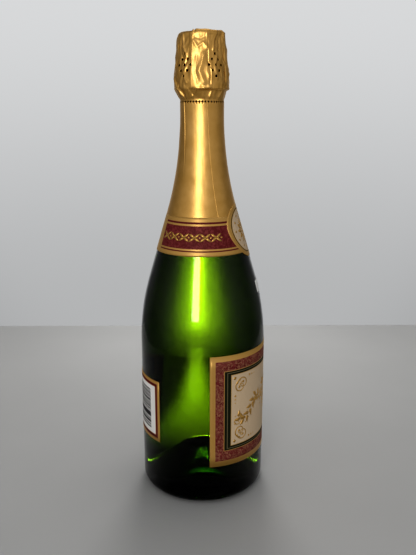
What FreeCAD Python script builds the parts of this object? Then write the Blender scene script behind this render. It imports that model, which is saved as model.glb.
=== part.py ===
"""A dressed and sealed sparkling-wine bottle, as separate pieces.

Millimetres. +Z is up, the origin is the centre of the foot on the table, and the front label faces -Y.
An azimuth is an angle about the axis, counted from the front (-Y) towards +X.
"""
import FreeCAD, Part
import Sketcher
import math
import os
import re

UP = FreeCAD.Vector(0, 0, 1)
RIGHT = FreeCAD.Vector(1, 0, 0)
FULL_TURN = 360
QUARTER_TURN = 90
VENT_ROW_WIDEST = 3

DIMENSIONS = [
    # Glass
    ("body_radius", 44, "outside of the body"),
    ("glass_height", 296, "foot to lip"),
    ("heel_radius", 8, "rounding between foot and body"),
    ("foot_width", 4, "width of the ring that the bottle stands on"),
    ("shoulder_share", 0.36486, "height where the body starts to narrow, share of the glass height"),
    ("curve_share", 0.913, "arcs between body and neck, share of the largest that fit"),
    ("shoulder_curve_share", 0.4177, "the shoulder's share of these arcs, the rest leads into the neck"),
    ("neck_radius", 14.3, "outside of the neck"),
    ("neck_length", 30.46, "straight neck, with ring and lip"),
    ("glass_wall", 4.9, "wall of body, shoulder and neck"),
    ("punt_height", 32, "hollow under the foot"),
    ("punt_tip_radius", 9, "rounding of the hollow's tip"),
    ("punt_wall", 5, "glass over the hollow"),
    ("inner_heel_radius", 6, "rounding of the inside between hollow and wall"),
    ("bore_radius", 9, "mouth that the cork sits in"),
    ("bore_lead", 3.46, "taper between the neck's inside and the mouth"),
    ("ring_overhang", 1.7, "ring that holds the wire cage, outside the neck"),
    ("ring_drop", 12.8, "lip to the ring's lower face"),
    ("ring_height", 5.5, "height of the ring"),
    ("ring_rounding", 1.2, "rounding of the ring's edges"),
    ("groove_depth", 1, "groove between ring and lip, inside the neck's line"),
    ("lip_inset", 0.3, "lip inside the neck's line"),
    ("lip_height", 5, "height of the lip"),
    ("lip_rounding", 1.4, "rounding of the lip's top edge"),
    # Filling
    ("fill_drop", 74, "lip to the wine's surface"),
    ("wine_gap", 0.02, "wine to glass"),
    # Foil
    ("skin_gap", 0.05, "between a skin and what it lies on"),
    ("foil_thickness", 0.15, "foil"),
    ("tear_drop", 23.6, "lip to the tear line"),
    ("tear_gap", 0.1, "cut along the tear line"),
    ("tear_slit_size", 0.75, "width and height of a perforation along the tear line"),
    ("tear_slit_count", 45, "perforations around the neck"),
    ("skirt_tuck", 12, "foil hidden under the neck label"),
    ("hood_clearance", 0.35, "wire to foil"),
    ("hood_flare_rise", 6.3, "height of the taper from the neck out to the cage"),
    ("hood_band_height", 12.7, "upright part of the hood, above the taper"),
    ("vent_hole_radius", 0.65, "vent holes in the hood"),
    ("vent_row_pitch", 3.4, "between rows of vent holes"),
    ("vent_column_pitch", 4.7, "between vent holes of a row"),
    ("vent_drop", 1.2, "lip to the middle of a group of vent holes"),
    ("vent_group_count", 5, "groups of vent holes around the hood"),
    ("vent_azimuth", 24, "azimuth of the first group"),
    # Cork
    ("cork_clearance", 0.05, "cork to bore"),
    ("cork_depth", 24, "cork inside the bore"),
    ("cork_disc_height", 5.8, "each natural-cork disc"),
    ("cork_head_gap", 0.3, "lip to the cork's head"),
    ("cork_head_height", 17.2, "cork above the lip"),
    ("cork_head_inset", 0.2, "cork's head inside the lip's line"),
    ("cork_rounding", 1.2, "rounding of the cork's head"),
    # Wire cage
    ("wire_radius", 0.4, "single wire"),
    ("leg_radius", 0.7, "twisted pair of wires"),
    ("wire_gap", 0.05, "between wires of the cage, and wire and cap"),
    ("cage_gap", 0.15, "cage to glass and cork"),
    ("leg_bend_radius", 1.9, "bend of the legs"),
    ("leg_count", 4, "legs of the cage"),
    ("leg_azimuth", -12.5, "azimuth of the first leg"),
    ("top_ring_inset", 1.55, "wire ring on the cap, inside the bend of the legs"),
    ("cap_inset", 1.1, "metal cap inside the cork's line"),
    ("cap_thickness", 0.4, "metal cap"),
    ("cap_dome_radius", 9, "raised middle of the cap"),
    ("cap_dome_rise", 0.5, "raised middle of the cap"),
    ("cap_slope_width", 0.8, "slope around the raised middle"),
    ("key_azimuth", -147.5, "azimuth of the key, between two legs"),
    ("key_gap", 0.15, "key to the belt that it turns on"),
    ("key_stem_height", 3.6, "upright stem of the key, above the belt"),
    ("key_loop_radius", 3.1, "loop of the key"),
    # Labels
    ("paper_thickness", 0.12, "label paper"),
    ("front_label_rise", 1.4, "front label above the start of the shoulder"),
    ("front_label_height", 80.2, "front label"),
    ("front_label_width", 112, "front label, along its curve"),
    ("back_label_drop", 20.8, "back label below the start of the shoulder"),
    ("back_label_height", 45, "back label"),
    ("back_label_width", 90, "back label, along its curve"),
    ("back_azimuth", 180, "azimuth of the back label's middle"),
    ("neck_band_drop", 1.42, "neck label below the start of the arc into the neck"),
    ("neck_band_height", 24.6, "neck label"),
    ("neck_band_angle", 328, "how far the neck label wraps, degrees"),
    ("medal_radius", 17.9, "round middle of the neck label, seen from the front"),
    ("medal_rise", 1.6, "middle of the round above the middle of the band"),
    ("sticker_drop", 1.86, "sticker below the end of the shoulder arc"),
    ("sticker_height", 8, "sticker"),
    ("sticker_width", 18, "sticker, along its curve"),
    ("sticker_azimuth", 6.5, "azimuth of the sticker's middle"),
    # Cuts
    ("cut_overrun", 2, "how far a cut or a tool passes what it cuts"),
]

FOLLOWING = [
    ("shoulder_height", "shoulder_share * glass_height"),
    ("neck_start", "glass_height - neck_length"),
    ("line_run", "body_radius - neck_radius"),
    ("line_rise", "neck_start - shoulder_height"),
    ("line_square", "line_run ^ 2 + line_rise ^ 2"),
    ("line_curves", "curve_share * line_square / (2 * line_run)"),
    ("shoulder_radius", "shoulder_curve_share * line_curves"),
    ("neck_curve_radius", "line_curves - shoulder_radius"),
    ("cone_length", "sqrt((1 - curve_share) * line_square)"),
    ("cone_angle", "(atan(line_rise / (line_curves - line_run)) - atan(cone_length / line_curves)) / 1 deg"),
    ("shoulder_top", "shoulder_height + shoulder_radius * sin(cone_angle * 1 deg)"),
    ("neck_curve_bottom", "neck_start - neck_curve_radius * sin(cone_angle * 1 deg)"),
    ("bore_length", "neck_length - bore_lead"),
    ("ring_radius", "neck_radius + ring_overhang"),
    ("finish_groove_radius", "neck_radius - groove_depth"),
    ("lip_radius", "neck_radius - lip_inset"),
    ("cork_head_radius", "lip_radius - cork_head_inset"),
    ("leg_upper_radius", "cork_head_radius + cage_gap + leg_radius"),
    ("top_ring_radius", "leg_upper_radius - leg_bend_radius - top_ring_inset"),
    ("cap_radius", "cork_head_radius - cap_inset"),
    ("front_label_bottom", "shoulder_height + front_label_rise - front_label_height"),
    ("back_label_bottom", "shoulder_height - back_label_drop - back_label_height"),
    ("neck_band_bottom", "neck_curve_bottom - neck_band_drop - neck_band_height"),
    ("sticker_bottom", "shoulder_top - sticker_drop - sticker_height"),
]

doc = FreeCAD.newDocument("bottle")
sheet = doc.addObject("Spreadsheet::Sheet", "dims")
for row, (alias, size, meaning) in enumerate(DIMENSIONS, start=1):
    sheet.set(f"A{row}", meaning)
    sheet.set(f"B{row}", str(size))
    sheet.setAlias(f"B{row}", alias)
for row, (alias, formula) in enumerate(FOLLOWING, start=1):
    sheet.set(f"D{row}", "=" + formula)
    sheet.setAlias(f"D{row}", alias)
doc.recompute()


def number(formula):
    """The value of a formula of sheet names."""
    return float(sheet.evalExpression(formula))


def bound(formula):
    """A formula of sheet names, as an expression that another object can hold."""
    return re.sub(r"[a-z]+(_[a-z]+)+", lambda name: "dims." + name.group(0), formula)


# Sketches and features

def origin_plane(body, role):
    return next(plane for plane in body.Origin.OriginFeatures if plane.Role == role)


def new_sketch(body, name, role="XZ_Plane"):
    """An empty sketch on one of its body's own origin planes."""
    sketch = body.newObject("Sketcher::SketchObject", name)
    sketch.AttachmentSupport = [(origin_plane(body, role), "")]
    sketch.MapMode = "FlatFace"
    return sketch


def constrain(sketch, kind, formula, *ends):
    """Add one sized constraint and tie it to the sheet."""
    index = sketch.addConstraint(Sketcher.Constraint(kind, *ends, number(formula)))
    sketch.setExpression(f"Constraints[{index}]", bound(formula))


def place_point(sketch, edge, end, across, up):
    """Fix a point of the sketch at formulas of sheet names, or on the sketch's axes."""
    if across == "0":
        sketch.addConstraint(Sketcher.Constraint("PointOnObject", edge, end, -2))
    else:
        constrain(sketch, "DistanceX", across, edge, end)
    if up == "0":
        sketch.addConstraint(Sketcher.Constraint("PointOnObject", edge, end, -1))
    else:
        constrain(sketch, "DistanceY", up, edge, end)


def outline(body, name, corners, closed=True):
    """A sketch in the XZ plane through corners (across, up, bend), all formulas of sheet names.

    bend is None before a straight edge, or (radius, centre across, centre up) before an arc.
    """
    sketch = new_sketch(body, name)
    points = [FreeCAD.Vector(number(across), number(up), 0) for across, up, bend in corners]
    count = len(corners) if closed else len(corners) - 1
    starts = []
    ends = []
    for edge in range(count):
        first = points[edge]
        last = points[(edge + 1) % len(points)]
        bend = corners[edge][2]
        forward = True
        if bend is None:
            sketch.addGeometry(Part.LineSegment(first, last), False)
        else:
            centre = FreeCAD.Vector(number(bend[1]), number(bend[2]), 0)
            from_angle = math.atan2(first.y - centre.y, first.x - centre.x)
            to_angle = math.atan2(last.y - centre.y, last.x - centre.x)
            forward = (to_angle - from_angle) % math.tau < math.pi
            angles = (from_angle, to_angle) if forward else (to_angle, from_angle)
            circle = Part.Circle(centre, UP, number(bend[0]))
            sketch.addGeometry(Part.ArcOfCircle(circle, *angles), False)
        starts.append((edge, 1 if forward else 2))
        ends.append((edge, 2 if forward else 1))
    for edge in range(count):
        across, up, bend = corners[edge]
        place_point(sketch, *starts[edge], across, up)
        if edge + 1 < count or closed:
            joint = starts[(edge + 1) % count]
            sketch.addConstraint(Sketcher.Constraint("Coincident", *ends[edge], *joint))
        if bend is not None:
            constrain(sketch, "Radius", bend[0], edge)
    if not closed:
        place_point(sketch, *ends[-1], *corners[-1][:2])
    return sketch


def circles(body, name, spots, radius, role="XZ_Plane"):
    """A sketch of equal circles at (across, up) spots."""
    sketch = new_sketch(body, name, role)
    for edge, (across, up) in enumerate(spots):
        middle = FreeCAD.Vector(number(across), number(up), 0)
        sketch.addGeometry(Part.Circle(middle, UP, number(radius)), False)
        place_point(sketch, edge, 3, across, up)
        constrain(sketch, "Radius", radius, edge)
    return sketch


def new_body(label):
    body = doc.addObject("PartDesign::Body", label)
    body.Label = label
    return body


def revolve(body, name, sketch, kind="PartDesign::Revolution", angle=None, axis="V_Axis"):
    """Turn a sketch about one of its axes: a full turn, or an angle shared by both sides."""
    feature = body.newObject(kind, name)
    feature.Profile = sketch
    feature.ReferenceAxis = (sketch, [axis])
    feature.Angle = FULL_TURN
    if angle is not None:
        feature.Midplane = True
        feature.setExpression("Angle", bound(angle))
    body.Tip = feature
    doc.recompute()
    return feature


def pocket_front(body, name, sketch, start):
    """Cut a sketch of the XZ plane, moved out to a start on the -Y side, through the wall beyond it."""
    sketch.setExpression("AttachmentOffset.Base.z", bound(start))
    feature = body.newObject("PartDesign::Pocket", name)
    feature.Profile = sketch
    feature.Type = "ThroughAll"
    feature.Reversed = True
    body.Tip = feature
    doc.recompute()
    return feature


def upright_bar(body, name, across, bottom, top, radius):
    """A straight round bar beside the axis, on the +X side."""
    section = circles(body, name + "_section", [(across, "0")], radius, "XY_Plane")
    section.setExpression("AttachmentOffset.Base.z", bound(bottom))
    feature = body.newObject("PartDesign::Pad", name)
    feature.Profile = section
    feature.setExpression("Length", bound(f"{top} - {bottom}"))
    body.Tip = feature
    doc.recompute()
    return feature


def around(body, name, feature, count):
    """Repeat a feature evenly about the bottle's axis."""
    pattern = body.newObject("PartDesign::PolarPattern", name)
    pattern.Originals = [feature]
    pattern.Axis = (next(axis for axis in body.Origin.OriginFeatures if axis.Role == "Z_Axis"), [""])
    pattern.Angle = FULL_TURN
    pattern.setExpression("Occurrences", bound(count))
    body.Tip = pattern
    doc.recompute()
    return pattern


def pipe(body, name, path, radius):
    """A round bar along an XZ path whose first edge runs straight out along +X."""
    across, up, bend = path[0]
    spine = outline(body, name + "_path", path, closed=False)
    section = circles(body, name + "_section", [("0", up)], radius, "YZ_Plane")
    section.setExpression("AttachmentOffset.Base.z", bound(across))
    doc.recompute()
    feature = body.newObject("PartDesign::AdditivePipe", name)
    feature.Profile = section
    feature.Spine = (spine, [f"Edge{edge}" for edge in range(1, len(path))])
    body.Tip = feature
    doc.recompute()
    return feature


def face_azimuth(piece, azimuth):
    """Turn a piece that was drawn around +X so that it faces an azimuth."""
    piece.Placement = FreeCAD.Placement(FreeCAD.Vector(), FreeCAD.Rotation(UP, 1))
    piece.setExpression("Placement.Rotation.Angle", f"({bound(azimuth)} - {QUARTER_TURN}) * 1 deg")


# The bottle's line

CONE = "(cone_angle * 1 deg)"
NECK_START = "neck_start"
SHOULDER_CENTRE = ("body_radius - shoulder_radius", "shoulder_height")
CURVE_CENTRE = ("neck_radius + neck_curve_radius", NECK_START)


def shoulder_arc(offset):
    return (f"(shoulder_radius + {offset})", *SHOULDER_CENTRE)


def curve_arc(offset):
    return (f"(neck_curve_radius - ({offset}))", *CURVE_CENTRE)


def shoulder_end(offset):
    """End of the shoulder arc, on a line offset outwards from the glass."""
    radius = shoulder_arc(offset)[0]
    return (f"{SHOULDER_CENTRE[0]} + {radius} * cos{CONE}", f"shoulder_height + {radius} * sin{CONE}")


def curve_start(offset):
    """Start of the concave arc into the neck, on the same offset line."""
    radius = curve_arc(offset)[0]
    return (f"{CURVE_CENTRE[0]} - {radius} * cos{CONE}", f"{NECK_START} - {radius} * sin{CONE}")


def on_shoulder(offset, up):
    """The point of the offset shoulder arc at a height."""
    radius = shoulder_arc(offset)[0]
    return (f"{SHOULDER_CENTRE[0]} + sqrt({radius} ^ 2 - ({up} - shoulder_height) ^ 2)", up)


def on_cone(offset, up):
    """The point of the offset cone at a height."""
    across, height = shoulder_end(offset)
    return (f"{across} - ({up} - ({height})) * tan{CONE}", up)


def on_curve(offset, up):
    """The point of the offset concave arc at a height."""
    radius = curve_arc(offset)[0]
    return (f"{CURVE_CENTRE[0]} - sqrt({radius} ^ 2 - ({NECK_START} - ({up})) ^ 2)", up)


# Glass

FOOT_OUTER = "(body_radius - heel_radius)"
FOOT_INNER = f"({FOOT_OUTER} - foot_width)"
TIP_CENTRE = "(punt_height - punt_tip_radius)"
PUNT_ANGLE = (f"(acos(punt_tip_radius / sqrt({FOOT_INNER} ^ 2 + {TIP_CENTRE} ^ 2))"
              f" - atan({TIP_CENTRE} / {FOOT_INNER}))")
RING_BOTTOM = "(glass_height - ring_drop)"
RING_TOP = f"({RING_BOTTOM} + ring_height)"
LIP_BOTTOM = "(glass_height - lip_height)"
BORE_BOTTOM = "(glass_height - bore_length)"
VALLEY_ACROSS = "(body_radius - glass_wall - inner_heel_radius)"
VALLEY_UP = (f"({TIP_CENTRE} + (punt_tip_radius + punt_wall + inner_heel_radius"
             f" - {VALLEY_ACROSS} * cos{PUNT_ANGLE}) / sin{PUNT_ANGLE})")


def dome_foot(radius):
    """Where the rounded tip of the punt meets its cone."""
    return (f"{radius} * cos{PUNT_ANGLE}", f"{TIP_CENTRE} + {radius} * sin{PUNT_ANGLE}")


def cavity_floor(gap):
    """The inside of the bottle from the axis to the body wall, drawn in by a gap."""
    dome = f"(punt_tip_radius + punt_wall + {gap})"
    valley = f"(inner_heel_radius - {gap})"
    return [
        ("0", f"{TIP_CENTRE} + {dome}", (dome, "0", TIP_CENTRE)),
        (*dome_foot(dome), None),
        (f"{VALLEY_ACROSS} - {valley} * cos{PUNT_ANGLE}", f"{VALLEY_UP} - {valley} * sin{PUNT_ANGLE}",
         (valley, VALLEY_ACROSS, VALLEY_UP)),
        (f"{VALLEY_ACROSS} + {valley}", VALLEY_UP, None),
    ]


def cavity_wall(gap):
    """The inside of the bottle from the body wall to the start of the concave arc."""
    inset = f"-(glass_wall + {gap})"
    return [
        (f"body_radius + {inset}", "shoulder_height", shoulder_arc(inset)),
        (*shoulder_end(inset), None),
        (*curve_start(inset), curve_arc(inset)),
    ]


def make_glass_bottle():
    body = new_body("glass_bottle")
    outside = [
        ("0", "0", None),
        (FOOT_OUTER, "0", ("heel_radius", FOOT_OUTER, "heel_radius")),
        ("body_radius", "heel_radius", None),
        ("body_radius", "shoulder_height", shoulder_arc("0")),
        (*shoulder_end("0"), None),
        (*curve_start("0"), curve_arc("0")),
        ("neck_radius", NECK_START, None),
        ("neck_radius", RING_BOTTOM, None),
        ("ring_radius - ring_rounding", RING_BOTTOM,
         ("ring_rounding", "ring_radius - ring_rounding", f"{RING_BOTTOM} + ring_rounding")),
        ("ring_radius", f"{RING_BOTTOM} + ring_rounding", None),
        ("ring_radius", f"{RING_TOP} - ring_rounding",
         ("ring_rounding", "ring_radius - ring_rounding", f"{RING_TOP} - ring_rounding")),
        ("ring_radius - ring_rounding", RING_TOP, None),
        ("finish_groove_radius", RING_TOP, None),
        ("finish_groove_radius", LIP_BOTTOM, None),
        ("lip_radius", LIP_BOTTOM, None),
        ("lip_radius", "glass_height - lip_rounding",
         ("lip_rounding", "lip_radius - lip_rounding", "glass_height - lip_rounding")),
        ("lip_radius - lip_rounding", "glass_height", None),
        ("0", "glass_height", None),
    ]
    revolve(body, "glass_outside", outline(body, "glass_outside_line", outside))
    inside = cavity_floor("0") + cavity_wall("0") + [
        ("neck_radius - glass_wall", NECK_START, None),
        ("bore_radius", BORE_BOTTOM, None),
        ("bore_radius", "glass_height + cut_overrun", None),
        ("0", "glass_height + cut_overrun", None),
    ]
    revolve(body, "glass_inside", outline(body, "glass_inside_line", inside), "PartDesign::Groove")
    punt = [
        ("0", "-cut_overrun", None),
        (FOOT_INNER, "-cut_overrun", None),
        (FOOT_INNER, "0", None),
        (*dome_foot("punt_tip_radius"), ("punt_tip_radius", "0", TIP_CENTRE)),
        ("0", "punt_height", None),
    ]
    revolve(body, "glass_punt", outline(body, "glass_punt_line", punt), "PartDesign::Groove")
    return body


def make_wine():
    body = new_body("wine")
    surface = "(glass_height - fill_drop)"
    filling = cavity_floor("wine_gap") + cavity_wall("wine_gap") + [
        (*on_curve("-(glass_wall + wine_gap)", surface), None),
        ("0", surface, None),
    ]
    revolve(body, "wine_filling", outline(body, "wine_line", filling))
    return body


# Foil

FOIL_INNER = "skin_gap"
FOIL_OUTER = "(skin_gap + foil_thickness)"
TEAR_LINE = "(glass_height - tear_drop)"
BAND_TOP = "(neck_band_bottom + neck_band_height)"


def perforate(body):
    """Half slits along the tear line, cut into the edge that lies on it."""
    left = "-tear_slit_size / 2"
    right = "tear_slit_size / 2"
    low = f"{TEAR_LINE} - tear_slit_size / 2"
    high = f"{TEAR_LINE} + tear_slit_size / 2"
    slit = [(left, low, None), (right, low, None), (right, high, None), (left, high, None)]
    sketch = outline(body, body.Label + "_slit_line", slit)
    cut = pocket_front(body, body.Label + "_slit", sketch, "neck_radius - cut_overrun")
    around(body, body.Label + "_slits", cut, "tear_slit_count")


def make_foil_skirt():
    body = new_body("foil_skirt")
    top = f"{TEAR_LINE} - tear_gap / 2"
    bottom = f"({BAND_TOP} - skirt_tuck)"
    skin = [
        (*on_cone(FOIL_OUTER, bottom), None),
        (*curve_start(FOIL_OUTER), curve_arc(FOIL_OUTER)),
        (f"neck_radius + {FOIL_OUTER}", NECK_START, None),
        (f"neck_radius + {FOIL_OUTER}", top, None),
        (f"neck_radius + {FOIL_INNER}", top, None),
        (f"neck_radius + {FOIL_INNER}", NECK_START, curve_arc(FOIL_INNER)),
        (*curve_start(FOIL_INNER), None),
        (*on_cone(FOIL_INNER, bottom), None),
    ]
    revolve(body, "skirt_skin", outline(body, "skirt_line", skin))
    perforate(body)
    return body


# Wire cage

CORK_TOP = "(glass_height + cork_head_gap + cork_head_height)"
CAP_BOTTOM = f"({CORK_TOP} + cage_gap)"
CAP_TOP = f"({CAP_BOTTOM} + cap_thickness)"
LEG_TOP = f"({CAP_TOP} + wire_gap + leg_radius)"
LEG_UPPER = "leg_upper_radius"
LEG_LOWER = "(ring_radius + cage_gap + leg_radius)"
BELT_UP = f"({RING_BOTTOM} - cage_gap - wire_radius)"
HOOK_RADIUS = "(wire_radius + wire_gap + leg_radius)"
BELT_ACROSS = f"({LEG_LOWER} - {HOOK_RADIUS})"
LEG_SLOPE = f"(atan(({LEG_LOWER} - {LEG_UPPER}) / ({LEG_TOP} - leg_bend_radius - {RING_TOP})))"


def make_cage_cap():
    body = new_body("cage_cap")
    flat = "(cap_dome_radius + cap_slope_width)"
    sheet_metal = [
        ("0", f"{CAP_BOTTOM} + cap_dome_rise", None),
        ("cap_dome_radius", f"{CAP_BOTTOM} + cap_dome_rise", None),
        (flat, CAP_BOTTOM, None),
        ("cap_radius", CAP_BOTTOM, None),
        ("cap_radius", CAP_TOP, None),
        (flat, CAP_TOP, None),
        ("cap_dome_radius", f"{CAP_TOP} + cap_dome_rise", None),
        ("0", f"{CAP_TOP} + cap_dome_rise", None),
    ]
    revolve(body, "cap_sheet", outline(body, "cap_line", sheet_metal))
    return body


def make_cage_frame():
    """Top ring and legs: each leg bends over the cork, runs down past the ring and hooks under the belt."""
    body = new_body("cage_frame")
    ring = circles(body, "top_ring_section", [("top_ring_radius", LEG_TOP)], "wire_radius")
    revolve(body, "top_ring", ring)
    upper = (f"{LEG_UPPER} - leg_bend_radius", f"{LEG_TOP} - leg_bend_radius")
    lower = (f"{LEG_LOWER} - leg_bend_radius", RING_TOP)
    route = [
        ("top_ring_radius", LEG_TOP, None),
        (upper[0], LEG_TOP, ("leg_bend_radius", *upper)),
        (f"{upper[0]} + leg_bend_radius * cos{LEG_SLOPE}",
         f"{upper[1]} + leg_bend_radius * sin{LEG_SLOPE}", None),
        (f"{lower[0]} + leg_bend_radius * cos{LEG_SLOPE}",
         f"{lower[1]} + leg_bend_radius * sin{LEG_SLOPE}", ("leg_bend_radius", *lower)),
        (LEG_LOWER, RING_TOP, None),
        (LEG_LOWER, BELT_UP, (HOOK_RADIUS, BELT_ACROSS, BELT_UP)),
        (BELT_ACROSS, f"{BELT_UP} - {HOOK_RADIUS}", None),
    ]
    around(body, "legs", pipe(body, "leg", route, "leg_radius"), "leg_count")
    face_azimuth(body, "leg_azimuth")
    return body


def make_cage_belt():
    body = new_body("cage_belt")
    section = circles(body, "belt_section", [(BELT_ACROSS, BELT_UP)], "wire_radius")
    revolve(body, "belt_wire", section)
    return body


def make_cage_key():
    """A twisted stem that turns on the belt and is folded up against the cage, ending in a loop."""
    body = new_body("cage_key")
    across = f"({BELT_ACROSS} + wire_radius + key_gap + leg_radius)"
    stem_top = f"({BELT_UP} + key_stem_height)"
    section = circles(body, "key_loop_section", [(across, "key_loop_radius")], "wire_radius")
    section.setExpression("AttachmentOffset.Base.y", bound(f"{stem_top} + key_loop_radius"))
    revolve(body, "key_loop", section, axis="H_Axis")
    bar_top = f"({stem_top} + leg_radius)"
    upright_bar(body, "key_stem", across, f"({BELT_UP} - leg_radius)", bar_top, "leg_radius")
    face_azimuth(body, "key_azimuth")
    return body


# Hood over cork and cage

CREASE = f"({BELT_UP} - {HOOK_RADIUS} - leg_radius - hood_clearance - hood_flare_rise)"
HOOD_BAND_BOTTOM = f"({CREASE} + hood_flare_rise)"
HOOD_LOWER = f"({LEG_LOWER} + leg_radius + hood_clearance + foil_thickness)"
HOOD_UPPER = f"({LEG_UPPER} + leg_radius + hood_clearance + foil_thickness)"
HOOD_CORNER = "(leg_bend_radius + leg_radius + hood_clearance + foil_thickness)"
HOOD_TOP = f"({LEG_TOP} + leg_radius + hood_clearance + foil_thickness)"
HOOD_FLARE = f"(atan(({HOOD_LOWER} - neck_radius - {FOIL_OUTER}) / hood_flare_rise))"
FLARE_SHIFT = f"(foil_thickness * tan({HOOD_FLARE} / 2))"


def make_foil_hood():
    body = new_body("foil_hood")
    bottom = f"{TEAR_LINE} + tear_gap / 2"
    band_top = f"{HOOD_BAND_BOTTOM} + hood_band_height"
    corner = (f"{HOOD_UPPER} - {HOOD_CORNER}", f"{HOOD_TOP} - {HOOD_CORNER}")
    outer = [
        (f"neck_radius + {FOIL_OUTER}", bottom, None),
        (f"neck_radius + {FOIL_OUTER}", CREASE, None),
        (HOOD_LOWER, HOOD_BAND_BOTTOM, None),
        (HOOD_LOWER, band_top, None),
        (HOOD_UPPER, corner[1], (HOOD_CORNER, *corner)),
        (corner[0], HOOD_TOP, None),
        ("0", HOOD_TOP, None),
    ]
    inner = [
        ("0", f"{HOOD_TOP} - foil_thickness", None),
        (corner[0], f"{HOOD_TOP} - foil_thickness", (f"{HOOD_CORNER} - foil_thickness", *corner)),
        (f"{HOOD_UPPER} - foil_thickness", corner[1], None),
        (f"{HOOD_LOWER} - foil_thickness", band_top, None),
        (f"{HOOD_LOWER} - foil_thickness", f"{HOOD_BAND_BOTTOM} + {FLARE_SHIFT}", None),
        (f"neck_radius + {FOIL_INNER}", f"{CREASE} + {FLARE_SHIFT}", None),
        (f"neck_radius + {FOIL_INNER}", bottom, None),
    ]
    revolve(body, "hood_skin", outline(body, "hood_line", outer + inner))
    spots = []
    for row in range(1 - VENT_ROW_WIDEST, VENT_ROW_WIDEST):
        columns = VENT_ROW_WIDEST - abs(row)
        for column in range(columns):
            step = column - (columns - 1) / 2
            across = f"({step}) * vent_column_pitch" if step else "0"
            spots.append((across, f"glass_height - vent_drop + ({row}) * vent_row_pitch"))
    sketch = circles(body, "vent_spots", spots, "vent_hole_radius")
    group = pocket_front(body, "vent_group", sketch, "neck_radius - cut_overrun")
    around(body, "vent_groups", group, "vent_group_count")
    perforate(body)
    face_azimuth(body, f"vent_azimuth + {QUARTER_TURN}")
    return body


# Cork

CORK_RADIUS = "(bore_radius - cork_clearance)"
CORK_BOTTOM = "(glass_height - cork_depth)"


def make_cork_disc(label, bottom):
    disc = doc.addObject("Part::Cylinder", label)
    disc.Label = label
    disc.setExpression("Radius", bound(CORK_RADIUS))
    disc.setExpression("Height", bound("cork_disc_height"))
    disc.setExpression("Placement.Base.z", bound(bottom))
    return disc


def make_cork_stem():
    body = new_body("cork_stem")
    bottom = f"{CORK_BOTTOM} + 2 * cork_disc_height"
    under_head = "glass_height + cork_head_gap"
    rim = "cork_head_radius - cork_rounding"
    side = [
        ("0", bottom, None),
        (CORK_RADIUS, bottom, None),
        (CORK_RADIUS, under_head, None),
        (rim, under_head, ("cork_rounding", rim, f"{under_head} + cork_rounding")),
        ("cork_head_radius", f"{under_head} + cork_rounding", None),
        ("cork_head_radius", f"{CORK_TOP} - cork_rounding",
         ("cork_rounding", rim, f"{CORK_TOP} - cork_rounding")),
        (rim, CORK_TOP, None),
        ("0", CORK_TOP, None),
    ]
    revolve(body, "cork_turned", outline(body, "cork_line", side))
    return body


# Labels

PAPER_OUTER = "(skin_gap + paper_thickness)"


def wrap(width, radius):
    """The angle that a width takes up on a round of a radius."""
    return f"{width} / ({radius}) * 180 / pi"


def make_body_label(label, bottom, height, width, azimuth):
    """A rectangular label on the round body."""
    body = new_body(label)
    inner = "body_radius + skin_gap"
    outer = f"body_radius + {PAPER_OUTER}"
    top = f"{bottom} + {height}"
    paper = [(inner, bottom, None), (outer, bottom, None), (outer, top, None), (inner, top, None)]
    revolve(body, label + "_paper", outline(body, label + "_line", paper), angle=wrap(width, "body_radius"))
    face_azimuth(body, azimuth)
    return body


def make_price_sticker():
    """A small rectangle on the curve of the shoulder."""
    body = new_body("price_sticker")
    top = "(sticker_bottom + sticker_height)"
    inner = shoulder_arc("skin_gap")
    outer = shoulder_arc(PAPER_OUTER)
    paper = [
        (*on_shoulder("skin_gap", "sticker_bottom"), None),
        (*on_shoulder(PAPER_OUTER, "sticker_bottom"), outer),
        (*on_shoulder(PAPER_OUTER, top), None),
        (*on_shoulder("skin_gap", top), inner),
    ]
    angle = wrap("sticker_width", on_shoulder("0", "sticker_bottom")[0])
    revolve(body, "sticker_paper", outline(body, "sticker_line", paper), angle=angle)
    face_azimuth(body, "sticker_azimuth")
    return body


def make_neck_label():
    """A collar over the end of the foil, with a round medallion in front: one sheet, cut to outline."""
    inner = f"({FOIL_OUTER} + skin_gap)"
    outer = f"({inner} + paper_thickness)"
    middle = "(neck_band_bottom + neck_band_height / 2 + medal_rise)"
    bottom = f"({middle} - medal_radius - cut_overrun)"
    top = f"({middle} + medal_radius + cut_overrun)"
    blank = new_body("neck_label_blank")
    paper = [
        (*on_cone(inner, bottom), None),
        (*on_cone(outer, bottom), None),
        (*curve_start(outer), curve_arc(outer)),
        (*on_curve(outer, top), None),
        (*on_curve(inner, top), curve_arc(inner)),
        (*curve_start(inner), None),
    ]
    revolve(blank, "neck_label_paper", outline(blank, "neck_label_line", paper))
    band = doc.addObject("Part::Cylinder", "neck_band")
    band.setExpression("Radius", bound("body_radius"))
    band.setExpression("Height", bound("neck_band_height"))
    band.setExpression("Angle", bound("neck_band_angle"))
    face_azimuth(band, "-neck_band_angle / 2")
    band.setExpression("Placement.Base.z", bound("neck_band_bottom"))
    medal = doc.addObject("Part::Cylinder", "neck_medal")
    medal.setExpression("Radius", bound("medal_radius"))
    medal.setExpression("Height", bound("body_radius"))
    medal.Placement = FreeCAD.Placement(FreeCAD.Vector(), FreeCAD.Rotation(RIGHT, QUARTER_TURN))
    medal.setExpression("Placement.Base.z", bound(middle))
    outline_tool = doc.addObject("Part::Fuse", "neck_label_outline")
    outline_tool.Base = band
    outline_tool.Tool = medal
    label = doc.addObject("Part::Common", "neck_label")
    label.Label = "neck_label"
    label.Base = blank
    label.Tool = outline_tool
    return label


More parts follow.
